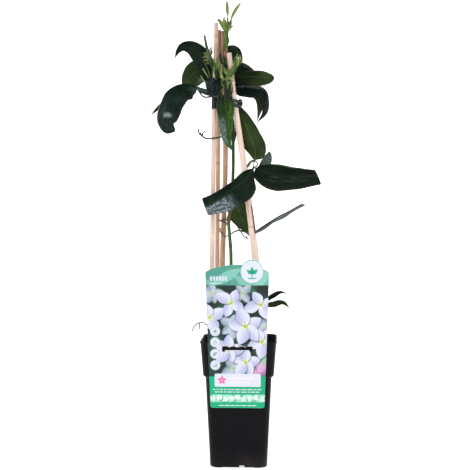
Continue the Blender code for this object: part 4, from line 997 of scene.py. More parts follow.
leaves = {
    "leaf_upper_left": {"height": 608, "stalk": [(-34, 0.5, 610), (-44, 0, 612)], "stalkLook": "paleStalk",
        "loops": [(1.0, [(-43, -2, 611), (-48.5, -6, 618), (-53.5, -8, 626), (-58.5, -6, 634)]),
            (0.9, [(-44, -3, 604), (-52, -7, 609), (-57, -8, 615), (-62, -4, 623)])],
        "blades": [
            {"line": [(-48, -2, 624), (-54, -6, 640), (-64, -10, 656), (-76, -13, 666), (-89, -13, 668),
                    (-98, -12, 661), (-103, -11, 649)], "width": 30, "face": (-0.45, -0.8, 0.45),
                "fold": -14},
            {"line": [(-53, 1, 619), (-60, 3, 627.5), (-71, 6, 630), (-81.5, 8, 620.5), (-87, 7, 604),
                    (-102, 5, 591), (-121, 3, 579), (-143.5, 1, 560)], "width": 33,
                "face": (-0.2, -0.95, 0.2), "fold": 10, "broad": 0.5,
                "shares": ([0.3, 0.4, 0.6, 0.85, 0.9, 0.8, 0.75, 0.8, 0.8, 0.9, 1.5],
                    [0.8, 1.05, 1.25, 1.05, 0.74, 0.62, 0.62, 0.6, 1.1, 2.0, 3]), "look": "olive"}]},
    "leaf_lower_left": {"stalkLook": "darkStalk", "height": 586,
        "stalk": [(-30, -15, 590), (-41, -20, 594), (-52, -23, 596), (-61.5, -26, 598.5),
            (-67.5, -28, 600.5)], "radii": [1.8, 2.6, 3.0, 3.0, 2.6],
        "loops": [(1.3,
                [(-63, -27, 595), (-58.3, -27, 588.4), (-52, -25, 585.8), (-44.5, -21, 587.5),
                    (-36, -18, 590)]),
            (2.1, [(-64, -27, 597), (-56, -25, 593), (-47, -22, 590.5), (-36, -18, 592)])],
        "blades": [
            {"line": [(-78, -29.5, 600), (-93, -32, 593), (-107, -36, 575.5), (-112.5, -39, 556),
                    (-111, -40, 539), (-100, -39, 531)], "width": 41, "face": (-0.2, -0.97, 0.15),
                "cut": 0.9, "broad": 0.95, "blunt": 0.1,
                "shares": ([2.3, 1.8, 1.2, 0.98, 0.93, 0.94, 1, 1, 1, 1, 1],
                    [1, 1, 1, 1.03, 1.05, 0.93, 0.91, 1.0, 1.12, 1.14, 1]), "look": "blue"}]},
    "leaf_small_dark": {"height": 598, "stalk": [(-27, -16, 601), (-33, -20, 609), (-36.3, -23, 613.3)],
        "stalkLook": "darkStalk",
        "blades": [
            {"line": [(-41, -25, 616), (-46.5, -27.5, 611), (-48, -28.5, 602), (-45, -28, 590)],
                "width": 18, "face": (-0.3, -0.95, 0.15), "fold": -32, "broad": 0.6, "look": "teal"},
            {"line": [(-33.5, -27, 607), (-35.5, -29.5, 598), (-40, -28.5, 585)], "width": 17,
                "face": (0.3, -0.95, 0.1), "fold": -28, "broad": 0.6, "look": "teal"},
            {"line": [(-42, -28, 608), (-43, -31, 598), (-38, -31, 588)], "width": 13,
                "face": (-0.1, -0.95, 0.25), "fold": 24, "broad": 0.6, "look": "teal"},
            {"line": [(-31, -27, 613), (-27, -29, 606), (-27, -29, 597)], "width": 12,
                "face": (0.3, -0.9, 0.3), "fold": -22, "broad": 0.6, "look": "night"}]},
    "leaf_upper_right": {"height": 619, "stalk": [(-15, -3, 620), (-10, -2, 621)],
        "blades": [
            {"line": [(-13.5, 8, 638), (-18.5, 14, 654), (-17, 16, 664.5), (-12, 17, 668), (-5, 18, 667),
                    (0, 19, 661.5), (3, 20, 654), (4.5, 19, 646)], "width": 20, "face": (0.1, -0.8, 0.6),
                "fold": -10, "bare": 0.2, "shares": ([0.95], [1.3])},
            {"line": [(-2, 8, 634.5), (12, 20, 638.3), (28.5, 32, 628), (42, 44, 610)], "width": 26,
                "face": (0.1, -0.8, 0.6)},
            {"line": [(2, -12, 619), (26, -24, 618), (56, -35, 613)], "width": 30,
                "face": (0.0, -0.93, 0.36), "fold": -14, "cut": 0.82, "broad": 0.84, "blunt": 0.12,
                "look": "dusky"}]},
    "leaf_right_drooping": {"height": 603, "stalk": [(-13, -4, 603), (-8, -4, 604)],
        "blades": [
            {"line": [(1, -9, 602), (18, -15, 599.5), (36, -19, 593.5), (43.5, -20, 579.5), (42, -19, 561),
                    (28, -17, 545)], "width": 27, "face": (0.3, -0.8, 0.5), "fold": -18, "broad": 0.55,
                "shares": ([1, 1, 1, 1.1, 1.35, 1.12, 0.9, 0.93, 1, 1, 1], [1, 1, 1, 1, 1.3, 1.7]),
                "look": "night"},
            {"line": [(2, -1, 604), (16, 2, 604), (28, 4, 599), (34.5, 4, 588), (33.8, 4, 572),
                    (28.4, 3, 549)], "width": 29, "face": (0.1, -0.75, 0.65), "fold": -14, "broad": 0.5,
                "look": "dusky"}]},
    "leaf_front": {"height": 594, "stalk": [(-22.5, -15, 594), (-25, -22, 592)],
        "blades": [
            {"line": [(-22, -29, 581), (-20, -32, 562), (-18.4, -32, 540), (-16, -30, 518), (-9, -28, 499)],
                "width": 28, "face": (-0.1, -1, 0.1), "fold": -18, "broad": 0.52,
                "shares": ([1, 0.9, 0.86, 0.95, 0.9, 0.8], [1.1, 1.1, 1.1, 1.4, 2.3, 2.8]),
                "look": "bright"}]},
    "leaf_three_part": {"height": 446,
        "stalk": [(2, -5, 453), (14, -12, 463), (21, -20, 471), (24, -26, 475)],
        "radii": [1.1, 1.1, 1.2, 1.8, 1.6],
        "loops": [(1.0, [(25.7, -25, 485.5), (29.6, -27, 481.3), (28.8, -29, 476.8), (25, -28, 474.8)]),
            (2.0, [(2, -8, 459), (9.8, -14, 470), (15.3, -20, 479), (19.7, -23, 484), (25.7, -25, 485.5)])],
        "blades": [
            {"line": [(22.3, -26, 479.9), (25.7, -25, 485.5), (25.5, -20, 502), (16.5, -13.5, 528),
                    (7, -8, 551), (-1, -3, 571), (-5, -1, 582)], "width": 36, "face": (-0.05, -1, 0.1),
                "fold": -6, "bare": 0.125, "broad": 0.62,
                "shares": ([0.5, 0.7, 0.85, 0.93, 1.04, 1.22, 1.38, 1.42, 1.35, 1.15, 1],
                    [1.2, 1.1, 0.92, 1.04, 1.34, 1.5]), "look": "olive"},
            {"line": [(22, -30, 470), (7, -38, 452), (-14, -45, 437), (-33, -46, 424), (-53.2, -46, 412.6)],
                "width": 41, "face": (0.2, -0.85, 0.45), "fold": -8, "cut": 0.55, "broad": 0.5,
                "bare": 0.06, "slant": -0.1,
                "shares": ([0.15, 0.62, 1.22, 1.4, 1.4, 1.4, 1.38, 1.33, 1.28, 1.17, 1.06],
                    [0.5, 0.72, 0.72, 0.66, 0.62, 0.6, 0.6, 0.66, 0.76, 0.88, 1.02]), "look": "bloomy"},
            {"line": [(28.5, -30, 472.5), (38, -33, 467.8), (59, -36, 461.3), (97, -38, 459.3),
                    (125.2, -36, 460.2)], "width": 42, "face": (0.05, -0.9, 0.4), "fold": -14, "cut": 0.65,
                "broad": 0.56, "bare": 0.062, "slant": 0.2,
                "shares": ([1.1, 1.15, 1.1, 1.02, 0.98, 1.12], [1.14, 1.1, 1.12, 1.0, 0.98, 1.06]),
                "look": "rich"},
            {"line": [(31, -18, 470), (37.5, -12, 474), (42.5, -8, 484), (46, -5, 492.5), (48.9, -1, 501)],
                "width": 16, "face": (-0.1, -0.9, 0.4), "fold": 8, "blunt": 0.3, "cut": 0.76, "bare": 0.3,
                "broad": 0.55, "shares": ([1], [1.25]), "look": "grey"}]},
    "leaf_behind": {"height": 428, "stalk": [(-7, -1, 430), (-5, 2, 430)],
        "blades": [
            {"line": [(-4, 3, 419), (1, 3.5, 401), (7.5, 3.5, 385), (16, 3, 364.5)], "width": 36,
                "face": (0.1, -1, 0.1), "fold": -10, "look": "moss"}]},
    "leaf_rear_right": {"height": 611, "stalk": [(-13, 1, 613), (-8, 12, 616), (-4, 24, 619)],
        "blades": [
            {"line": [(2, 38, 625), (12, 60, 627), (21, 82, 618), (26, 98, 604)], "width": 34,
                "face": (0.2, 0.3, 0.93)}]},
    "leaf_rear_left": {"height": 604,
        "stalk": [(-14, 4, 606), (-17, 13, 609), (-26, 21, 613), (-40, 27, 617)],
        "blades": [
            {"line": [(-56, 38, 626), (-78, 56, 624), (-94, 74, 606), (-101, 85, 582)], "width": 33,
                "face": (-0.4, 0.4, 0.82)}]},
    "leaf_rear": {"height": 592, "stalk": [(-14, 2, 592), (-15, 14, 594), (-19, 24, 596)],
        "blades": [
            {"line": [(-23, 38, 601), (-28, 60, 597), (-31, 80, 580), (-30, 92, 558)], "width": 31,
                "face": (-0.1, 0.45, 0.88), "fold": -14, "look": "blue"}]},
    "leaf_rear_low": {"height": 439, "stalk": [(-12, 3, 440), (-11, 14, 442), (-10, 26, 442)],
        "blades": [
            {"line": [(-8, 42, 443), (-8, 64, 437), (-9, 86, 421), (-10, 98, 406)], "width": 28,
                "face": (0, 0.4, 0.9)}]},
}


def seatOnStem(height, onwards):
    middle = atHeight(stemLine(), height)
    way = Vector(onwards) - middle
    way.z = 0
    way.normalize()
    first = middle + way * (stemRadius(height) + 0.3)
    return [first, first + way * 2.2]


def halfShare(t, broad):
    s = t ** broad
    return math.sin(math.pi * min(s, 1.0)) ** (0.62 if s < 0.5 else 1.15)


def bladeRows(spec, seed):
    # rows of places from foot to tip, each from edge to edge
    shape = bladeShape
    steps, cells, fine = shape["steps"], shape["cells"], shape["fine"]
    line = smoothLine(spec["line"], fine)
    ways = headings(line)
    normals = carriedNormals(line, spec["face"])
    cut, broad, full = spec.get("cut", 1.0), spec.get("broad", 0.72), spec["width"] / 2
    bare, blunt, slant = spec.get("bare", 0.0), spec.get("blunt", 0.0), spec.get("slant", 0.0)
    sideShares = [alongLine(shares, steps) for shares in spec.get("shares", ([1, 1], [1, 1]))]
    crease = math.tan(math.radians(spec.get("fold", -12)))
    rows = []
    for i in range(steps + 1):
        t = i / steps
        k = round((bare + (1 - bare) * t) * fine)
        half = max(full * halfShare(t * cut, broad), spec.get("tip", shape["tip"]))
        if blunt and t > 1 - blunt:
            half *= max(0.04, math.sqrt(max(0.0, 1 - ((t - 1 + blunt) / blunt) ** 2)))
        side = ways[k].cross(normals[k])
        tipPull = slant * full * max(0.0, (t - shape["slantFrom"]) / (1 - shape["slantFrom"])) ** 2
        footPull = shape["footPull"] * full * max(0.0, 1 - t / shape["footLength"]) ** 2
        row = []
        for j in range(cells + 1):
            u = 2 * j / cells - 1
            right = u > 0
            turn = 2 * math.pi * shape["waves"] * t + seed + (shape["sideLag"] if right else 0)
            wave = shape["wave"] * half * math.sin(turn) * u * u
            rise = crease * half * (math.sqrt(u * u + shape["soften"]) - shape["creaseFoot"])
            rise += wave if right else -wave
            rise += shape["puff"] * half * (1 - math.cos(2 * math.pi * (abs(u) * 2 % 1.0)))
            rise -= shape["curlDown"] * half * abs(u) ** 6
            along = tipPull * u - footPull * abs(u)
            across = half * u * sideShares[right][i]
            row.append(line[k] + side * across + normals[k] * rise + ways[k] * along)
        rows.append(row)
    return rows


def bladeShells(spec, seed, upper, under):
    # the blade's upper and under sides, half a thickness off its rows, and its edges
    shape = bladeShape
    steps, cells = shape["steps"], shape["cells"]
    rows = bladeRows(spec, seed)
    thick, cut = spec.get("thick", shape["thick"]), spec.get("cut", 1.0)
    top, low = [], []
    for i, row in enumerate(rows):
        lift = []
        for j in range(cells + 1):
            along = rows[min(i + 1, steps)][j] - rows[max(i - 1, 0)][j]
            across = row[min(j + 1, cells)] - row[max(j - 1, 0)]
            edge = abs(2 * j / cells - 1) ** 8
            # across x along looks away from the upper face
            lift.append(along.cross(across).normalized() * (-thick / 2 * (1 - shape["edgeThin"] * edge)))
        top.append([p + out for p, out in zip(row, lift)])
        low.append([p - out for p, out in zip(row, lift)])
    uvs = [[(j / cells, i / steps * cut) for j in range(cells + 1)] for i in range(steps + 1)]
    shells = [gridShell(top, upper, uvs=uvs),
              gridShell([row[::-1] for row in low], under, uvs=[row[::-1] for row in uvs])]
    edgeUvs = [[(0.99, v[0][1]), (1.0, v[0][1])] for v in uvs]
    endUvs = [[(j / cells, 0.5) for j in range(cells + 1)]] * 2
    left = [[a[0], b[0]] for a, b in zip(low, top)]
    right = [[a[-1], b[-1]] for a, b in zip(top, low)]
    shells += [gridShell(strip, upper, uvs=edgeUvs) for strip in (left, right)]
    return shells + [gridShell(ends, upper, uvs=endUvs) for ends in ([low[0], top[0]], [top[-1], low[-1]])]


def ribShells(spec, finish, radius):
    # the stalk carried on under the blade as its midrib
    under = Vector(spec["face"]).normalized() * -bladeShape["ribDepth"]
    run = [p + under for p in smoothLine(spec["line"], 40)]
    run = run[:max(4, int(len(run) * bladeShape["ribShare"]))]
    return tubeShells(run, alongLine([radius, radius * 0.75, radius * 0.3], len(run) - 1), 8, finish)


def leafPiece(name, places, spec, node, stalkLook="stalk", radius=None, steps=None, slot="leaf"):
    radius = radius or bladeShape["stalkRadius"]
    steps = steps or 14 * (len(places) - 1)
    blades = spec["blades"]
    used = {blade.get("look", "deep") for blade in blades} | {b["under"] for b in blades if "under" in b}
    looks = ["under", stalkLook] + sorted(used)
    radii = spec.get("radii", [radius * 1.12, radius, radius, radius * 1.12])
    shells = taperedTube(places, radii, steps, 12, 1, wobble=0.06, seed=len(name))
    for thin, loop in spec.get("loops", []):
        shells += taperedTube(loop, [thin], 40, 8, 1, wobble=0.1)
    for number, blade in enumerate(blades):
        upper, under = looks.index(blade.get("look", "deep")), looks.index(blade.get("under", "under"))
        shells += bladeShells(blade, 1.7 * number + len(node), upper, under)
        shells += ribShells(blade, 1, radius * 0.8)
    return buildPiece(name, shells, [finishes[look] for look in looks], node, slot)


def makeLeaves():
    for node, spec in leaves.items():
        stalk = spec["stalk"]
        blades = [{**blade, "line": stalk[-1:] + blade["line"]} for blade in spec["blades"]]
        places = seatOnStem(spec["height"], stalk[0]) + [Vector(p) for p in stalk]
        name = "clematisLeaf" + "".join(word.title() for word in node.split("_")[1:])
        leafPiece(name, places, {**spec, "blades": blades}, node, spec.get("stalkLook", "stalk"))


makeLeaves()
print("leaves made")


# The winding leaf stalk, the clasping one, and bare curling stalks

winding = {
    "loops": [(1.6, [(28.5, -20.5, 373), (30, -26, 372.5), (28.4, -31.5, 371.5), (25.5, -33.5, 371.5)]),
        (1.2, [(26.5, -33, 371), (25.4, -32.7, 376), (23.3, -31.3, 393), (20.1, -30.4, 414)]),
        (0.9, [(-14.5, -1.5, 391.5), (-22, -1.5, 391), (-30, 1.5, 390.8), (-37.5, 21, 391.2)])],
    "height": 391, "highZ": 391, "lowZ": 364, "turns": 2.0, "settle": 2.6, "radius": 0.85,
    "radii": [0.9] * 10 + [1.2, 1.35, 1.4, 1.5, 1.8, 2.3],
    "after": [(-14.2, 2, 368), (-7.9, 0, 372), (-1.1, -2.5, 374), (7, -8, 372.5), (16.5, -15, 370.5),
        (25, -20, 371), (29.5, -20.5, 373.4)],
    "blades": [
        {"line": [(28.5, -20.2, 373.4), (50, -20.5, 388.2), (73, -19, 400.6), (101.5, -16, 416.3)],
            "width": 26, "face": (-0.5, 0.22, 0.84), "fold": -6, "cut": 0.45, "broad": 0.3, "slant": -0.3,
            "tip": 1.2, "shares": ([0.6, 0.66, 0.82, 1, 1, 1], [0.6, 0.66, 0.82, 1, 1, 1]),
            "look": "night", "under": "greyUnder", "thick": 1.5}],
}
clasp = {
    "height": 581, "before": (-12, -8, 582), "highZ": 583, "lowZ": 571, "turns": 1.6, "radius": 2.9,
    "radii": [1.2, 1.7, 2.4, 2.9, 2.9, 2.9, 2.1],
    "lobe": (2.6, [(1, -14.5, 585), (3.5, -15, 578), (2.5, -16, 570)]),
}
tendrils = {
    "tendril_left": {"height": 534, "radius": 1.4,
        "line": [(-22, -11, 527), (-31, -19, 523), (-43, -23.5, 520.7), (-53, -25, 521),
            (-58.6, -24.5, 525), (-63, -23, 528.5), (-64.5, -22, 535.5)],
        "prongs": [[(-58.5, -24.5, 525), (-57, -25, 529), (-53.5, -24, 532.5)],
            [(-58.5, -24.5, 525), (-61, -25, 529), (-59.5, -25, 530.5)]]},
    "tendril_inner": {"height": 392, "radius": 1.15,
        "line": [(-9, -8, 390), (-3, -9.5, 381), (3, -12, 372), (9, -15, 364), (15, -18, 361)],
        "prongs": [[(12, -17, 362), (13, -18.5, 364), (12.5, -19, 366.5)]]},
    "tendril_low": {"height": None, "radius": 1.1,
        "line": [(-40, -22, 168), (-41, -23, 195), (-46, -27, 216), (-54, -32, 227), (-63, -35, 228),
            (-69, -36, 224), (-74, -36, 215)],
        "prongs": [[(-62.5, -35, 228), (-62, -35.5, 223), (-61, -35, 216)]]},
}


def coilPlaces(caneName, spec, startTurn, settle=1.0, perTurn=10):
    # a coil that winds down a cane from highZ to lowZ
    line = smoothLine(canes[caneName]["line"], 40)
    high, low, turns = spec["highZ"], spec["lowZ"], spec["turns"]
    reach = (caneRadius(caneName, high) + 0.3) * knotShape["swell"] + spec["radius"] * 1.05
    steps = max(2, round(turns * perTurn))
    places = []
    for i in range(steps + 1):
        turn = startTurn + 2 * math.pi * turns * i / steps
        middle = atHeight(line, high + (low - high) * (i / steps) ** settle)
        places.append(middle + Vector((math.cos(turn), math.sin(turn), 0)) * reach)
    return places


def turnTowards(caneName, z, place):
    middle = atHeight(smoothLine(canes[caneName]["line"], 40), z)
    return math.atan2(place.y - middle.y, place.x - middle.x)


def swollenTube(places, thick, shares, steps, **skin):
    return tubeShells(smoothLine(places, steps), [thick * s for s in alongLine(shares, steps)], 12, **skin)


def makeWindingLeaf():
    spec = winding
    start = turnTowards("cane_centre", spec["highZ"], atHeight(stemLine(), spec["height"]))
    turned = coilPlaces("cane_centre", spec, start, spec["settle"])
    places = seatOnStem(spec["height"], turned[0]) + turned + [Vector(p) for p in spec["after"]]
    leafPiece("windingLeaf", places, spec, "leaf_edge_on", "woodyStalk", spec["radius"], 240)


def makeClasp():
    spec = clasp
    before = Vector(spec["before"])
    start = turnTowards("cane_right", spec["highZ"], before) + 0.6
    turned = coilPlaces("cane_right", spec, start)
    places = seatOnStem(spec["height"], before) + [before] + turned
    shells = taperedTube(places, spec["radii"], 140, 12, wobble=0.12)
    thick, lobe = spec["lobe"]
    shells += swollenTube(lobe, thick, [0.3, 0.9, 1.0, 0.8, 0.2], 20, wobble=0.15)
    buildPiece("claspingStalk", shells, [finishes["darkStalk"]], "stalk_clasp", "stalk")


def makeTendrils():
    dry = stalkFinish("dryStalk", {"dark": (24, 22, 18), "light": (58, 54, 40), "patch": (40, 52, 34)})
    for node, spec in tendrils.items():
        radius = spec["radius"]
        seat = seatOnStem(spec["height"], spec["line"][0]) if spec["height"] else []
        places = seat + [Vector(p) for p in spec["line"]]
        shells = taperedTube(places, [radius, radius * 0.75], 90, wobble=0.1)
        for prong in spec["prongs"]:
            shells += taperedTube(prong, [radius * 0.85, radius * 0.6], 16)
        buildPiece(node.replace("tendril", "curlingStalk"), shells, [dry], node, "stalk")


makeWindingLeaf()
makeClasp()
makeTendrils()
print("winding stalks made")


# Young shoots: fleshy stems with buds and narrow bracts

shootLooks = {
    "fresh": ("freshShoot",
        {"dark": (34, 58, 18), "light": (84, 110, 44), "patch": (150, 158, 104), "patchShow": 0.4,
            "roughness": 0.6}),
    "teal": ("darkShoot",
        {"dark": (26, 48, 40), "light": (60, 88, 66), "patch": (96, 124, 70), "patchShow": 0.4,
            "roughness": 0.5}),
    "bud": ("budSkin",
        {"dark": (80, 102, 44), "light": (136, 152, 84), "patch": (190, 166, 96), "patchShow": 0.35,
            "roughness": 0.6}),
    "dullBud": ("dullBudSkin",
        {"dark": (46, 60, 32), "light": (98, 110, 64), "patch": (156, 152, 108), "patchShow": 0.4,
            "roughness": 0.6}),
    "scale": ("driedScale",
        {"dark": (78, 54, 40), "light": (150, 122, 100), "patch": (84, 92, 52), "patchShow": 0.5,
            "roughness": 0.7}),
    "dark": ("shadedBract",
        {"dark": (14, 24, 14), "light": (34, 48, 28), "patch": (68, 56, 38), "patchShow": 0.45,
            "roughness": 0.55}),
}
bractShape = {
    "sides": 12, "steps": 20, "swell": [0.55, 0.9, 1.0, 0.92, 0.66, 0.08], "face": (0.1, -1, 0.3),
    "lumps": 0.08, "flatness": 0.5, "keel": 0.25,
}
budSwell = [0.45, 0.85, 1.0, 0.95, 0.7, 0.12]

# Each shoot: its stem, then buds and bracts as thickness and places from foot to tip. A bract may name
# its skin; the others are in turn bud and fresh green.
shoots = {
    "shoot_top": {"line": [(-22.5, -4, 640.4), (-22, -4, 660), (-20.5, -4, 684), (-19.5, -4, 702)],
        "radii": [2.3, 3.5, 3.6, 3.2, 2.2], "look": "fresh",
        "buds": [(1.3, [(-19.5, -4, 700), (-18.5, -4, 713), (-18.5, -4, 722)]),
            (2.4, [(-18.5, -4, 719), (-19.4, -4, 732), (-19.8, -4, 743.6)]),
            (1.4, [(-19.5, -4, 698), (-14, -4, 708), (-12.5, -4, 719)]),
            (2.4, [(-13.2, -4, 714), (-6, -4, 727.5), (2.9, -3, 740.4)]),
            (2.2, [(-23.5, -6, 695), (-24.5, -8, 707), (-24, -8, 717)])],
        "bracts": [(2.2, [(-20, -4, 692), (-14, -6, 699), (-9, -7, 702)]),
            (2.4, [(-20.5, -5, 688), (-22, -8, 700), (-21.5, -8, 712)]),
            (2.3, [(-23, -5, 694), (-29, -6, 705), (-35, -7, 715)]),
            (1.6, [(-25, -5.5, 703), (-31, -8, 711), (-37, -10, 707.5)]),
            (2.2, [(-18, -5, 694), (-14, -7, 704), (-13, -7, 714)]),
            (2.2, [(-20, -3, 694), (-19, 2, 704), (-16, 6, 712)]),
            (2.0, [(-21, -2, 690), (-25, 3, 700), (-27, 6, 709)]),
            (3.3, [(-22.5, -6.5, 650), (-21.5, -7.5, 659), (-20.5, -7, 668)], "scale"),
            (2.4, [(-22, -5, 668), (-18.5, -7, 676), (-17.5, -7, 685)]),
            (2.1, [(-23.5, -5.5, 641), (-28, -5, 643), (-30, -4.5, 650), (-31, -4, 662)], "dark")]},
    "shoot_left": {"height": 618, "look": "teal",
        "line": [(-27, -14, 619), (-35, -19, 625), (-41, -21, 634), (-46, -21, 648), (-51, -19, 665),
            (-55, -17, 685)], "radii": [1.5, 2.2, 2.7, 2.6, 2.5, 2.0, 1.6],
        "buds": [(1.7, [(-46, -21, 645), (-52, -25, 650), (-58, -25.5, 648.5)]),
            (1.6, [(-45, -21, 641), (-51, -25, 645), (-57, -26, 643)]),
            (1.6, [(-47, -21, 648), (-53, -25, 655), (-58, -26, 655)]),
            (1.5, [(-44, -21, 639), (-49, -26, 640), (-53, -27, 637)]),
            (1.5, [(-47, -22, 650), (-50, -26, 657), (-49, -27, 661)]),
            (1.3, [(-45, -21, 643), (-49, -26, 646), (-51, -28, 643), (-50, -29, 640)]),
            (1.2, [(-47, -22, 647), (-52, -27, 650), (-54, -29, 654), (-52, -30, 657)]),
            (1.2, [(-46, -21, 652), (-44, -26, 655), (-46, -29, 658)]),
            (1.1, [(-43, -21, 640), (-40, -26, 644), (-39, -28, 649)]),
            (1.0, [(-48, -22, 655), (-45, -24, 658), (-46, -26, 661)])],
        "bracts": [(2.6, [(-36, -20, 622), (-34, -24, 636), (-34, -24, 650)], "fresh"),
            (1.6, [(-47, -21, 650), (-43, -26, 656), (-43, -28, 663)], "dark"),
            (1.1, [(-49, -20, 659), (-45, -19, 664), (-42, -18, 668)], "dark"),
            (2.2, [(-31, -18, 618), (-30, -23, 630), (-29, -24, 643)], "fresh"),
            (3.0, [(-34, -21, 616), (-38, -24, 632), (-40, -23, 648)], "fresh"),
            (2.0, [(-37, -21, 628), (-42, -25, 636), (-45, -26, 640)], "dark"),
            (1.8, [(-34, -23, 628), (-31, -27, 637), (-32, -28, 646)], "fresh"),
            (3.6, [(-32, -18, 614), (-35, -23, 622), (-37, -25, 632)], "dark")]},
    "shoot_right": {"height": 608, "look": "fresh",
        "line": [(-22.5, -15, 610), (-20, -22.5, 613), (-15, -27, 619.5), (-9, -28, 628), (-4, -28, 637)],
        "radii": [2.2, 3.2, 4.0, 4.4, 4.2, 3.2],
        "buds": [(2.2, [(-6, -28, 632), (-3.5, -29, 643), (-2, -28, 655)])],
        "bracts": [(2.8, [(-6, -28, 631), (1, -29, 642), (2, -27, 653)]),
            (2.8, [(-8, -29, 629), (-6, -32, 640), (-5, -31, 650)]),
            (2.4, [(-14, -27, 620), (-20, -30, 624), (-24, -31, 633)]),
            (2.4, [(-17, -25.5, 617), (-11, -31, 615), (-6, -34, 618)]),
            (2.0, [(-5, -28, 634), (2.5, -30, 640), (6, -31, 646)]),
            (2.6, [(-19, -25, 614), (-17, -30, 624), (-16, -31, 634)]),
            (2.6, [(-21, -22, 611), (-27, -27, 618), (-28, -28, 629)]),
            (2.3, [(-20, -23, 612), (-13, -29, 609), (-8, -32, 613)]),
            (2.4, [(-22, -20, 608), (-24, -27, 605), (-23, -31, 600)]),
            (3.0, [(-22, -20, 609), (-15, -26, 606), (-12, -29, 599)], "dark"),
            (3.0, [(-22, -19, 609), (-29, -24, 608), (-32, -28, 601)], "dark"),
            (3.2, [(-22, -18, 612), (-27, -22, 616), (-31, -24, 625)], "dark"),
            (3.0, [(-21, -19, 611), (-19, -25, 605), (-18, -29, 599)], "dark"),
            (2.6, [(-22, -19, 612), (-17, -24, 613), (-13, -26, 608)], "scale"),
            (2.8, [(-20, -20, 613), (-17, -25, 622), (-19, -27, 634)], "dark"),
            (5.2, [(-24, -18, 622), (-27, -24, 608), (-27, -26, 580)], "dark"),
            (5.0, [(-20, -18, 620), (-20, -25, 606), (-21, -28, 580)], "dark"),
            (4.8, [(-17, -20, 612), (-14, -25, 602), (-15, -28, 582)], "dark"),
            (4.8, [(-28, -16, 618), (-33, -22, 604), (-33, -25, 580)], "dark"),
            (4.0, [(-26, -16, 626), (-29, -19, 617), (-30, -21, 600)], "dark"),
            (2.6, [(-24, -21, 607), (-25, -27, 598), (-24, -30, 588)], "scale"),
            (1.8, [(-19, -24, 614), (-17, -30, 606), (-18, -32, 596)], "fresh"),
            (1.6, [(-22, -24, 618), (-26, -30, 611), (-27, -32, 603)], "fresh"),
            (1.6, [(-15, -24, 610), (-11, -29, 602), (-12, -31, 594)], "fresh")]},
}
lowShoot = {
    "radius": 1.1,
    "line": [(20, -12, 168), (22, -12, 200), (30, -14, 226), (37, -17, 250), (41, -18, 262)],
    "blades": [
        {"line": [(41, -18, 262), (52, -22, 271), (66, -25, 277), (77, -25, 274)], "width": 11.5,
            "face": (-0.2, -0.65, 0.75), "fold": -18, "look": "deep"},
        {"line": [(40, -18, 256), (52, -21, 258), (70, -24, 261), (82, -25, 250)], "width": 13,
            "face": (0.1, -0.65, 0.75), "fold": -18, "look": "olive"}],
}


def bractShells(thick, line, finish, seed):
    # a fleshy pointed scale: an oval rod, flat towards the front, with a keel
    shape = bractShape
    places = smoothLine(line, shape["steps"])
    normals = carriedNormals(places, shape["face"])
    swell = alongLine(shape["swell"], shape["steps"])
    rings = []
    for place, way, normal, share in zip(places, headings(places), normals, swell):
        side = way.cross(normal)
        ring = []
        for turn in turnsAround(shape["sides"]):
            spot = (math.cos(turn) * 2 + seed, math.sin(turn) * 2, place.z * 0.1)
            reach = thick * share * (1 + shape["lumps"] * noise.noise(spot))
            keel = shape["flatness"] + shape["keel"] * max(0.0, math.cos(turn)) ** 6
            ring.append(place + (side * math.sin(turn) + normal * math.cos(turn) * keel) * reach)
        rings.append(ring)
    return closedRings(rings, finish)


def makeShoots():
    skins = {key: stalkFinish(name, look) for key, (name, look) in shootLooks.items()}
    order = ["stem", "fresh", "bud", "dark", "scale"]
    for node, spec in shoots.items():
        seat = seatOnStem(spec["height"], spec["line"][0]) if "height" in spec else []
        places = seat + [Vector(p) for p in spec["line"]]
        shells = taperedTube(places, spec["radii"], 24 * (len(places) - 1), 16, wobble=0.12, ribs=5)
        for thick, line in spec["buds"]:
            shells += swollenTube(line, thick, budSwell, 24, finish=2, wobble=0.1, ribs=4)
        for number, (thick, line, *skin) in enumerate(spec["bracts"]):
            inTurn = "bud" if number % 3 == 0 else "fresh"
            shells += bractShells(thick, line, order.index(skin[0] if skin else inTurn), number * 2.3)
        bud = "dullBud" if spec["look"] == "teal" else "bud"
        looks = [skins[key] for key in (spec["look"], "fresh", bud, "dark", "scale")]
        buildPiece(node.replace("shoot_", "youngShoot_"), shells, looks, node, "shoot")
    places = [Vector(p) for p in lowShoot["line"]]
    leafPiece("lowSideShoot", places, lowShoot, "low_shoot", "stalk", lowShoot["radius"], 80)


makeShoots()
print("shoots made")


# Picture label: a plate, a painted sheet and crisp printed shapes a hair in front of it

labelShape = {
    "x": -1.0, "footZ": 97.0, "shoulderZ": 312.0, "crownZ": 322.5,
    "footHalf": 42.5, "topHalf": 49.5, "corner": 4.0,
    # the shoulder's places: how far below it, and how far in from the side
    "shoulder": [(3, 0.0), (1.2, 0.4), (0.0, 1.5)],
    "archFrom": 44.0, "archPlaces": (1.8, -5.0, -12.0, -18.0, -24.0, -30.0, -36.0, -41.0, -45.0),
    "discX": 23.0, "discZ": 312.0, "discRadius": 18.4, "discTurn": (8, 152),
    "thick": 0.8, "backAt": -61.2, "leanFrom": 200.0, "lean": 4.0 / 54.0, "slotGap": 0.6,
    "plastic": (206, 226, 222),
}


def labelBack(z):
    return labelShape["backAt"] - (z - labelShape["leanFrom"]) * labelShape["lean"]


def labelFront(z):
    return labelBack(z) - labelShape["thick"]


def archZ(x):
    s = labelShape
    return s["crownZ"] - (s["crownZ"] - s["shoulderZ"]) * (x / s["topHalf"]) ** 2


def shoulderPlaces():
    s = labelShape
    return [(s["topHalf"] - inset, s["shoulderZ"] - below) for below, inset in s["shoulder"]]


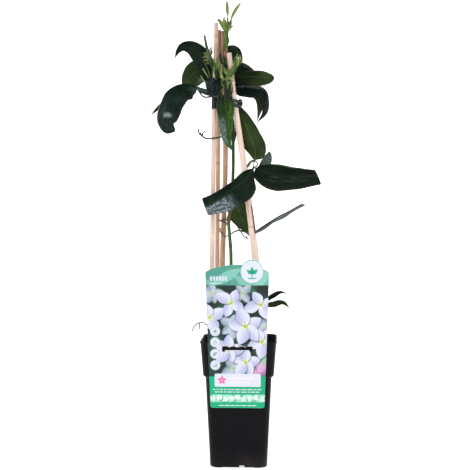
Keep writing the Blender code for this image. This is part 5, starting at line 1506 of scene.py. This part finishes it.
def labelOutline():
    s = labelShape
    footX, footZ, corner = s["footHalf"] - s["corner"], s["footZ"] + s["corner"], s["corner"]
    bend = [math.pi / 16 * k for k in range(9)]
    foot = [(footX + corner * math.cos(turn), footZ - corner * math.sin(turn)) for turn in bend]
    places = [(-x, z) for x, z in foot] + foot[::-1] + shoulderPlaces()
    places.append((s["archFrom"], archZ(s["archFrom"])))
    first, sweep = s["discTurn"]
    radius = s["discRadius"]
    for k in range(31):
        turn = math.radians(first + k * sweep / 30)
        places.append((s["discX"] + radius * math.cos(turn), s["discZ"] + radius * math.sin(turn)))
    places += [(x, archZ(x)) for x in s["archPlaces"]]
    places += [(-x, z) for x, z in shoulderPlaces()[::-1]]
    return [(s["x"] + x, z) for x, z in places]


def labelHalf(z):
    # half of the label's width at a height, with its rounded foot and arched crown
    s = labelShape
    rise, bendZ = s["shoulderZ"] - 3 - s["footZ"], s["footZ"] + s["corner"]
    half = s["footHalf"] + (s["topHalf"] - s["footHalf"]) * (z - s["footZ"]) / rise
    if z < bendZ:
        half -= s["corner"] - math.sqrt(max(0.0, s["corner"] ** 2 - (bendZ - z) ** 2))
    if z > s["shoulderZ"] - 3:
        edge = shoulderPlaces() + [(s["archFrom"], archZ(s["archFrom"]))]
        half = float(np.interp(z, [e[1] for e in edge], [e[0] for e in edge]))
    if z > archZ(s["archFrom"]):
        half = s["topHalf"] * math.sqrt(max(0.0, (s["crownZ"] - z) / (s["crownZ"] - s["shoulderZ"])))
    return half


# Places on the label are x from its middle and z, in mm

labelPrint = {
    "cell": 0.62, "gap": 0.07, "layer": 0.05, "panelTop": 146.8, "pictureTop": 290.2, "fade": 0.3,
    "panel": (8, 158, 112), "panelLight": (20, 172, 126), "header": (74, 142, 128),
    "headerPale": (112, 170, 160), "ground": (20, 38, 32), "groundPale": (48, 88, 76),
    # leaves behind the blossoms: x, z and direction
    "leafPlaces": [(-30, 255, 0.6), (20, 284, 2.4), (46, 238, 1.1), (-6, 214, 2.2), (-28, 170, 0.9),
        (14, 192, 0.3)],
    "leafColours": [(24, 62, 44), (38, 88, 66)], "leafRib": (74, 128, 96), "leafSize": (19, 6.5),
    # blossoms: x, z, petal length, turn in degrees, number of petals, softness of the edge
    "farBlossoms": [(-40, 278, 19, 10, 5, 4.0), (8, 278, 17, 40, 4, 4.5), (46, 228, 20, 5, 5, 4.0),
        (-10, 226, 20, 70, 5, 3.6), (40, 168, 18, 30, 5, 5.0), (-6, 160, 20, 60, 5, 5.0)],
    "blossoms": [(-43, 240, 25, 25, 4, 0.8), (36, 260, 26, 20, 4, 0.7), (-10, 263, 25, 62, 4, 0.6),
        (12, 170, 24, 15, 5, 1.0), (38, 202, 25, 50, 5, 0.6), (-15, 190, 25, 8, 5, 0.6),
        (12, 226, 29, 31, 5, 0.5)],
    "blurs": [(38, 158, 13, (206, 150, 206)), (26, 152, 9, (226, 170, 190)), (46, 178, 10, (120, 186, 124)),
        (-46, 158, 14, (20, 60, 48))],
    # soft light shapes on the header: x, z, direction, length, width, strength
    "sweeps": [(-16, 304, 0.5, 26, 8, 0.5), (14, 292, 2.5, 24, 7, 0.4), (38, 300, 0.9, 22, 8, 0.5),
        (-38, 290, 2.6, 18, 6, 0.35)],
    "sweepColour": (160, 214, 200),
    "band": (105.8, 118.6), "bandColours": [(150, 206, 184), (104, 176, 148)],
    "iconX": -34.5, "iconZ": (218.3, 201.0, 182.8, 164.8), "iconRadius": 7.9,
    "plate": (-35.6, 36.4, 130.6, 151.4),
    "inks": {"teal": (64, 158, 136), "white": (204, 208, 222), "ink": (30, 160, 122), "pink": (226, 92, 150),
        "grey": (112, 150, 142), "pale": (226, 214, 226)},
    # rows of short bars: height, ends and seed
    "barRows": [(126.3, -38.5, 38.0, 4), (122.3, -35.5, 34.0, 9), (100.9, -29.5, 29.5, 6)],
    "backBars": (66, 58, 62, 40, 64, 60, 52, 66, 30, 60, 44),
}
# petal and shadow colours, the heart's colour, and how much shadow and detail a kind of blossom has
blossomLooks = {
    "near": ((206, 208, 228), (160, 164, 202), (190, 200, 96), 1.0),
    "far": ((176, 186, 200), (120, 140, 160), (150, 170, 110), 0.3),
    "small": ((222, 240, 232), (180, 218, 202), (200, 224, 160), 0.2),
}
petalShape = {
    "half": 0.335, "shadowDrop": 1.4, "shadow": 0.55, "throat": (206, 218, 168), "anthers": 14,
    "antherColours": ((150, 136, 70), (236, 234, 176), (236, 234, 176)), "eye": (120, 146, 52),
}


def smoothStep(value, low, high):
    t = np.clip((value - low) / (high - low), 0.0, 1.0)
    return t * t * (3 - 2 * t)


def lay(base, colour, share):
    # paints colour over base where share is 1
    return base + (np.asarray(colour, float) - base) * share[..., None]


def ripple(x, z, size, seed):
    # slow random hills between 0 and 1
    rng = np.random.default_rng(seed)
    total = np.zeros_like(x)
    for k in range(6):
        way, wave, start = rng.uniform(0, 6.3), size * rng.uniform(0.6, 1.7), rng.uniform(0, 6.3)
        total = total + np.sin((x * np.cos(way) + z * np.sin(way)) / wave + start)
    return 0.5 + 0.5 * np.tanh(total / 2.2)


def turnedPlaces(x, z, way):
    return x * math.cos(way) + z * math.sin(way), -x * math.sin(way) + z * math.cos(way)


def paintBlossom(base, x, z, blossom, kind):
    shape = petalShape
    petal, shadow, heart, depth = blossomLooks[kind]
    cx, cz, size, turn, count, soft = blossom
    for k in sorted(range(count), key=lambda k: k % 2):
        way = math.radians(turn + 360 * k / count + 7 * math.sin(3.1 * k + cx))
        length = size * (1 + 0.1 * math.sin(2.3 * k + cz))
        for drop in (shape["shadowDrop"], 0.0):
            s, w = turnedPlaces(x - cx - drop * 0.6, z - cz + drop, way)
            s, w = s / length, w / length
            w = w + 0.05 * np.sin(3 * s + k)
            half = shape["half"] * np.sin(np.pi * np.clip(s, 0, 1) ** 0.9) ** 0.8
            edge = (half - np.abs(w)) * length
            if drop:
                share = 0.7 * depth * smoothStep(edge, -2.2, 1.2) * (s > -0.05) * (s < 1.1)
                base = lay(base, base * shape["shadow"], share)
        lean = np.clip(0.5 + 0.9 * w / shape["half"] * (1 if k % 2 else -1), 0, 1)
        tone = lay(np.asarray(petal, float), shadow, 0.75 * lean ** 1.5)
        tone = tone * (1 - 0.035 * (0.5 + 0.5 * np.cos(w * 70)) - 0.05 * np.exp(-(w / 0.02) ** 2))[..., None]
        tone = lay(tone, shape["throat"], 0.6 * smoothStep(s, 0.32, 0.0))
        base = lay(base, tone, smoothStep(edge, -soft * 0.5, soft * 0.5) * (s > 0) * (s < 1))
    reach = np.hypot(x - cx, z - cz)
    base = lay(base, heart, smoothStep(reach, 0.13 * size + soft * 0.4, 0.1 * size - soft * 0.4) * 0.9)
    if depth < 0.5:
        return base
    for k in range(shape["anthers"]):
        way = 2 * math.pi * k / shape["anthers"] + 0.4 * math.sin(5 * k + cx)
        far = size * (0.15 + 0.05 * math.sin(7 * k))
        spot = np.hypot(x - cx - far * math.cos(way), z - cz - far * math.sin(way))
        base = lay(base, shape["antherColours"][k % 3], smoothStep(spot, 0.95, 0.45))
    return lay(base, shape["eye"], smoothStep(reach, 0.07 * size, 0.03 * size))


def paintPicture(x, z, sheet):
    look = labelPrint
    hills, fine = ripple(x, z, 9.0, 3), ripple(x, z, 3.4, 8)
    light = smoothStep(hills, 0.45, 0.95) * (0.5 + 0.5 * fine)
    picture = lay(sheet * look["ground"], look["groundPale"], light)
    for k, (cx, cz, way) in enumerate(look["leafPlaces"]):
        s, w = turnedPlaces(x - cx, z - cz, way)
        s, w = s / look["leafSize"][0], w / look["leafSize"][1]
        blade = smoothStep(np.hypot(s, w), 1.15, 0.7)
        picture = lay(picture, look["leafColours"][k % 2], blade * 0.8)
        picture = lay(picture, look["leafRib"], blade * 0.5 * np.exp(-(w / 0.12) ** 2))
    for blossom in look["farBlossoms"]:
        picture = paintBlossom(picture, x, z, blossom, "far")
    for cx, cz, reach, colour in look["blurs"]:
        picture = lay(picture, colour, 0.85 * np.exp(-((x - cx) ** 2 + (z - cz) ** 2) / reach ** 2))
    for blossom in look["blossoms"]:
        picture = paintBlossom(picture, x, z, blossom, "near")
    return picture


def paintLabel(x, z):
    look, sheet = labelPrint, np.ones(x.shape + (3,))
    picture = paintPicture(x, z, sheet)
    header = lay(sheet * look["header"], look["headerPale"], smoothStep(x, -30, 60) * 0.6)
    for cx, cz, way, length, wide, share in look["sweeps"]:
        s, w = turnedPlaces(x - cx, z - cz, way)
        s, w = s / length, w / wide
        inside = smoothStep(np.abs(w), 1 - s * s + 0.05, 1 - s * s - 0.1) * (np.abs(s) < 1)
        header = lay(header, look["sweepColour"], share * inside)
    panel = lay(sheet * look["panel"], look["panelLight"], 0.4 * ripple(x, z, 20.0, 5))
    low, high = look["band"]
    first, second = look["bandColours"]
    band = lay(sheet * first, second, smoothStep(ripple(x, z, 2.4, 12), 0.35, 0.65))
    for k in range(9):
        blossom = (-38 + 9.6 * k, 112.2 + 1.6 * math.sin(2.1 * k), 5.2, 33 * k, 5, 0.8)
        band = paintBlossom(band, x, z, blossom, "small")
    fromMiddle, half = np.abs(z - (low + high) / 2), (high - low) / 2
    band = lay(band, look["panel"], smoothStep(fromMiddle, half - 0.9, half) * 0.6)
    panel = lay(panel, band, ((z > low) & (z < high)).astype(float))
    fade, panelTop, pictureTop = look["fade"], look["panelTop"], look["pictureTop"]
    out = lay(picture, panel, smoothStep(z, panelTop + fade, panelTop - fade))
    return lay(out, header, smoothStep(z, pictureTop - fade, pictureTop + fade))


def insideOutline(x, z, outline):
    inside = np.zeros(x.shape, bool)
    for (ax, az), (bx, bz) in zip(outline, outline[1:] + outline[:1]):
        if az != bz:
            inside ^= ((az > z) != (bz > z)) & (x < (bx - ax) * (z - az) / (bz - az) + ax)
    return inside


def makePicture():
    look, s = labelPrint, labelShape
    across = round(2 * s["topHalf"] / look["cell"])
    up = round((s["crownZ"] - s["footZ"] - 0.3) / look["cell"])
    zs = np.linspace(s["footZ"] + 0.1, s["crownZ"] - 0.15, up + 1)
    halves = np.array([labelHalf(z) - 0.12 for z in zs])
    x = halves[:, None] * np.linspace(-1, 1, across + 1)[None, :]
    z = np.repeat(zs[:, None], across + 1, axis=1)
    colours = paintLabel(x, z) / 255
    points = np.stack([x + s["x"], labelFront(z) - look["gap"], z], -1).reshape(-1, 3)
    index = np.arange((up + 1) * (across + 1)).reshape(up + 1, across + 1)
    quads = np.stack([index[:-1, :-1], index[:-1, 1:], index[1:, 1:], index[1:, :-1]], -1).reshape(-1, 4)
    middle = points[quads].mean(1)
    quads = quads[~insideOutline(middle[:, 0], middle[:, 2], hookOutline(s["slotGap"]))]
    mesh = bpy.data.meshes.new("labelPicture")
    mesh.from_pydata((points * mm).tolist(), [], quads.tolist())
    linear = np.where(colours <= 0.04045, colours / 12.92, ((colours + 0.055) / 1.055) ** 2.4).reshape(-1, 3)
    layer = mesh.color_attributes.new("print", "FLOAT_COLOR", "POINT")
    layer.data.foreach_set("color", np.hstack([linear, np.ones((len(linear), 1))]).astype(np.float32).ravel())
    desk = NodeDesk("printedPicture")
    colour = desk.add("ShaderNodeAttribute", attribute_name="print")
    haze = desk.band(desk.mottle(24.0, 3.0), 0.3, 0.7, 0.3, 0.42)
    grain = desk.mottle(1200.0, 2.0)
    mesh.materials.append(desk.done(colour, haze, grain, 0.05, 0.0001, Specular_IOR_Level=0.25))
    belongs(newObject("labelPicture", mesh))


# Flat printed shapes, each a list of places in x and z that runs anticlockwise from the front

def roundShape(cx, cz, radius, steps=40):
    return [(cx + radius * math.cos(turn), cz + radius * math.sin(turn)) for turn in turnsAround(steps)]


def barShape(left, right, low, high, corner):
    out = []
    corners = ((right - corner, high - corner), (left + corner, high - corner),
               (left + corner, low + corner), (right - corner, low + corner))
    for quarter, (cx, cz) in enumerate(corners):
        for k in range(7):
            turn = math.radians(90 * quarter + 15 * k)
            out.append((cx + corner * math.cos(turn), cz + corner * math.sin(turn)))
    return out


def leafShape(cx, cz, length, wide, degrees):
    c, n = math.cos(math.radians(degrees)), math.sin(math.radians(degrees))
    out = []
    for side in (-1, 1):
        for k in range(11):
            s = k / 10 if side < 0 else 1 - k / 10
            w = side * wide / 2 * math.sin(math.pi * s ** 0.8)
            out.append((cx + length * s * c - w * n, cz + length * s * n + w * c))
    return out


def dropShape(cx, cz, radius):
    turns = [math.radians(degrees) for degrees in range(150, 391, 15)]
    return [(cx, cz + radius * 1.9)] + [(cx + radius * math.cos(a), cz + radius * math.sin(a)) for a in turns]


def iconShapes(k, x, z):
    if k == 0:        # a sun
        rays = [leafShape(x + 2.6 * math.cos(turn), z + 2.6 * math.sin(turn), 2.0, 0.8, math.degrees(turn))
                for turn in turnsAround(8)]
        return [(outline, "grey", 4) for outline in [roundShape(x, z, 2.0, 20)] + rays]
    if k == 1:        # a drop
        return [(dropShape(x, z - 1.2, 2.5), "grey", 4), (dropShape(x, z - 1.2, 1.6), "white", 5)]
    if k == 2:        # a leaf
        rib = leafShape(x - 2.6, z - 2.1, 6.5, 0.5, 42)
        return [(leafShape(x - 3.6, z - 3.0, 9.0, 4.4, 42), "grey", 4), (rib, "white", 5)]
    # height marks
    lefts = [(x - 3.2 + 2.4 * mark, 1.7 * mark) for mark in range(3)]
    return [(barShape(left, left + 1.4, z - 3.2, z - 0.6 + rise, 0.5), "grey", 4) for left, rise in lefts]


def printShapes():
    # every shape as its outline, ink and layer: a higher layer lies further out
    look, s = labelPrint, labelShape
    cx, cz = s["discX"], s["discZ"] - 0.6
    shapes = [(roundShape(cx, s["discZ"] - 0.4, s["discRadius"] - 0.15, 56), "teal", 1),
              (roundShape(cx, cz, s["discRadius"] - 0.9, 56), "white", 2)]
    # a sprout on a small mound
    for length, wide, degrees in ((11.5, 6.5, 38), (10.5, 6.0, 142), (12.0, 5.0, 90)):
        shapes.append((leafShape(cx, cz - 3.5, length, wide, degrees), "ink", 3))
    shapes += [(barShape(cx - 0.7, cx + 0.7, cz - 10.0, cz - 2.5, 0.6), "ink", 3),
               (barShape(cx - 6.5, cx + 6.5, cz - 11.0, cz - 9.4, 0.7), "ink", 3)]
    # a twig across the header
    shapes.append((barShape(-43, -15, 300.4, 301.4, 0.45), "white", 1))
    for k in range(6):
        shapes += [(leafShape(-42 + 4.6 * k, 300.9, 5.6, 2.5, degrees), "white", 2) for degrees in (52, -52)]
    shapes.append((barShape(-43, -23, 292.8, 294.2, 0.6), "white", 1))
    for k, iconZ in enumerate(look["iconZ"]):
        for layer, (shrink, ink) in enumerate(((0.0, "white"), (0.7, "teal"), (1.1, "white"))):
            shapes.append((roundShape(look["iconX"], iconZ, look["iconRadius"] - shrink), ink, layer + 1))
        shapes += iconShapes(k, look["iconX"], iconZ)
    shapes.append((barShape(*look["plate"], 2.2), "white", 1))
    for k in range(5):        # a small flower on the plate
        way = math.radians(90 + 72 * k)
        petal = leafShape(-24 + 0.8 * math.cos(way), 141 + 0.8 * math.sin(way), 6.2, 4.0, 90 + 72 * k)
        shapes.append((petal, "pink", 2))
    shapes.append((roundShape(-24, 141, 1.4, 16), "white", 3))
    shapes += [(barShape(-12, 27, 142.2, 145.4, 1.2), "pale", 2),
               (barShape(-12, 19, 136.4, 138.4, 0.8), "pale", 2)]
    for rowZ, start, stop, seed in look["barRows"]:
        rng, spot = random.Random(seed), start
        while spot < stop:
            wide = min(rng.uniform(3.0, 9.5), stop - spot)
            if wide > 1.6:
                shapes.append((barShape(spot, spot + wide, rowZ - 0.75, rowZ + 0.75, 0.6), "white", 1))
            spot += wide + 1.3
    return shapes


def backShapes():
    # a plain tint with a care panel of bars
    shapes = [(barShape(-40, 40, 214, 296, 3.0), "white", 1)]
    for k, long in enumerate(labelPrint["backBars"]):
        shapes.append((barShape(-34, -34 + long, 284 - 6.2 * k, 285.8 - 6.2 * k, 0.8), "grey", 2))
    return shapes + [(roundShape(-24 + 24 * k, 304, 5.0, 30), "white", 1) for k in range(3)]


def printShells(shapes, surface, side, gap):
    # side is 1 on the front, and -1 on the back, which faces the other way
    names = list(labelPrint["inks"])
    shells = []
    for outline, ink, layer in shapes:
        shell = newShell(names.index(ink))
        out = side * (gap + labelPrint["layer"] * layer)
        shell["points"] = [Vector((labelShape["x"] + side * x, surface(z) - out, z)) for x, z in outline]
        shell["faces"] = [tuple(range(len(outline)))]
        shells.append(shell)
    return shells


def makeLabel():
    plate = plateObject("labelPlate", labelOutline(), labelFront, labelBack)
    slot = plateObject("slot", hookOutline(labelShape["slotGap"]), lambda z: labelFront(z) - 3,
                       lambda z: labelBack(z) + 3)
    combine(plate, [slot], "DIFFERENCE")
    plastic = plainFinish("labelPlastic", labelShape["plastic"], 0.35, 900.0, 0.05, 0.04, 0.3)
    plate.data.materials.append(plastic)
    belongs(plate, "label")
    makePicture()
    inks = [plainFinish(name + "Print", colour, 0.35, 1100.0, 0.04, 0.03, 0.25)
            for name, colour in labelPrint["inks"].items()]
    shells = printShells(printShapes(), labelFront, 1, labelPrint["gap"])
    shells += printShells(backShapes(), labelBack, -1, 0.0)
    buildPiece("labelShapes", shells, inks, None, "label", weld=False)


makeLabel()
print("label made")
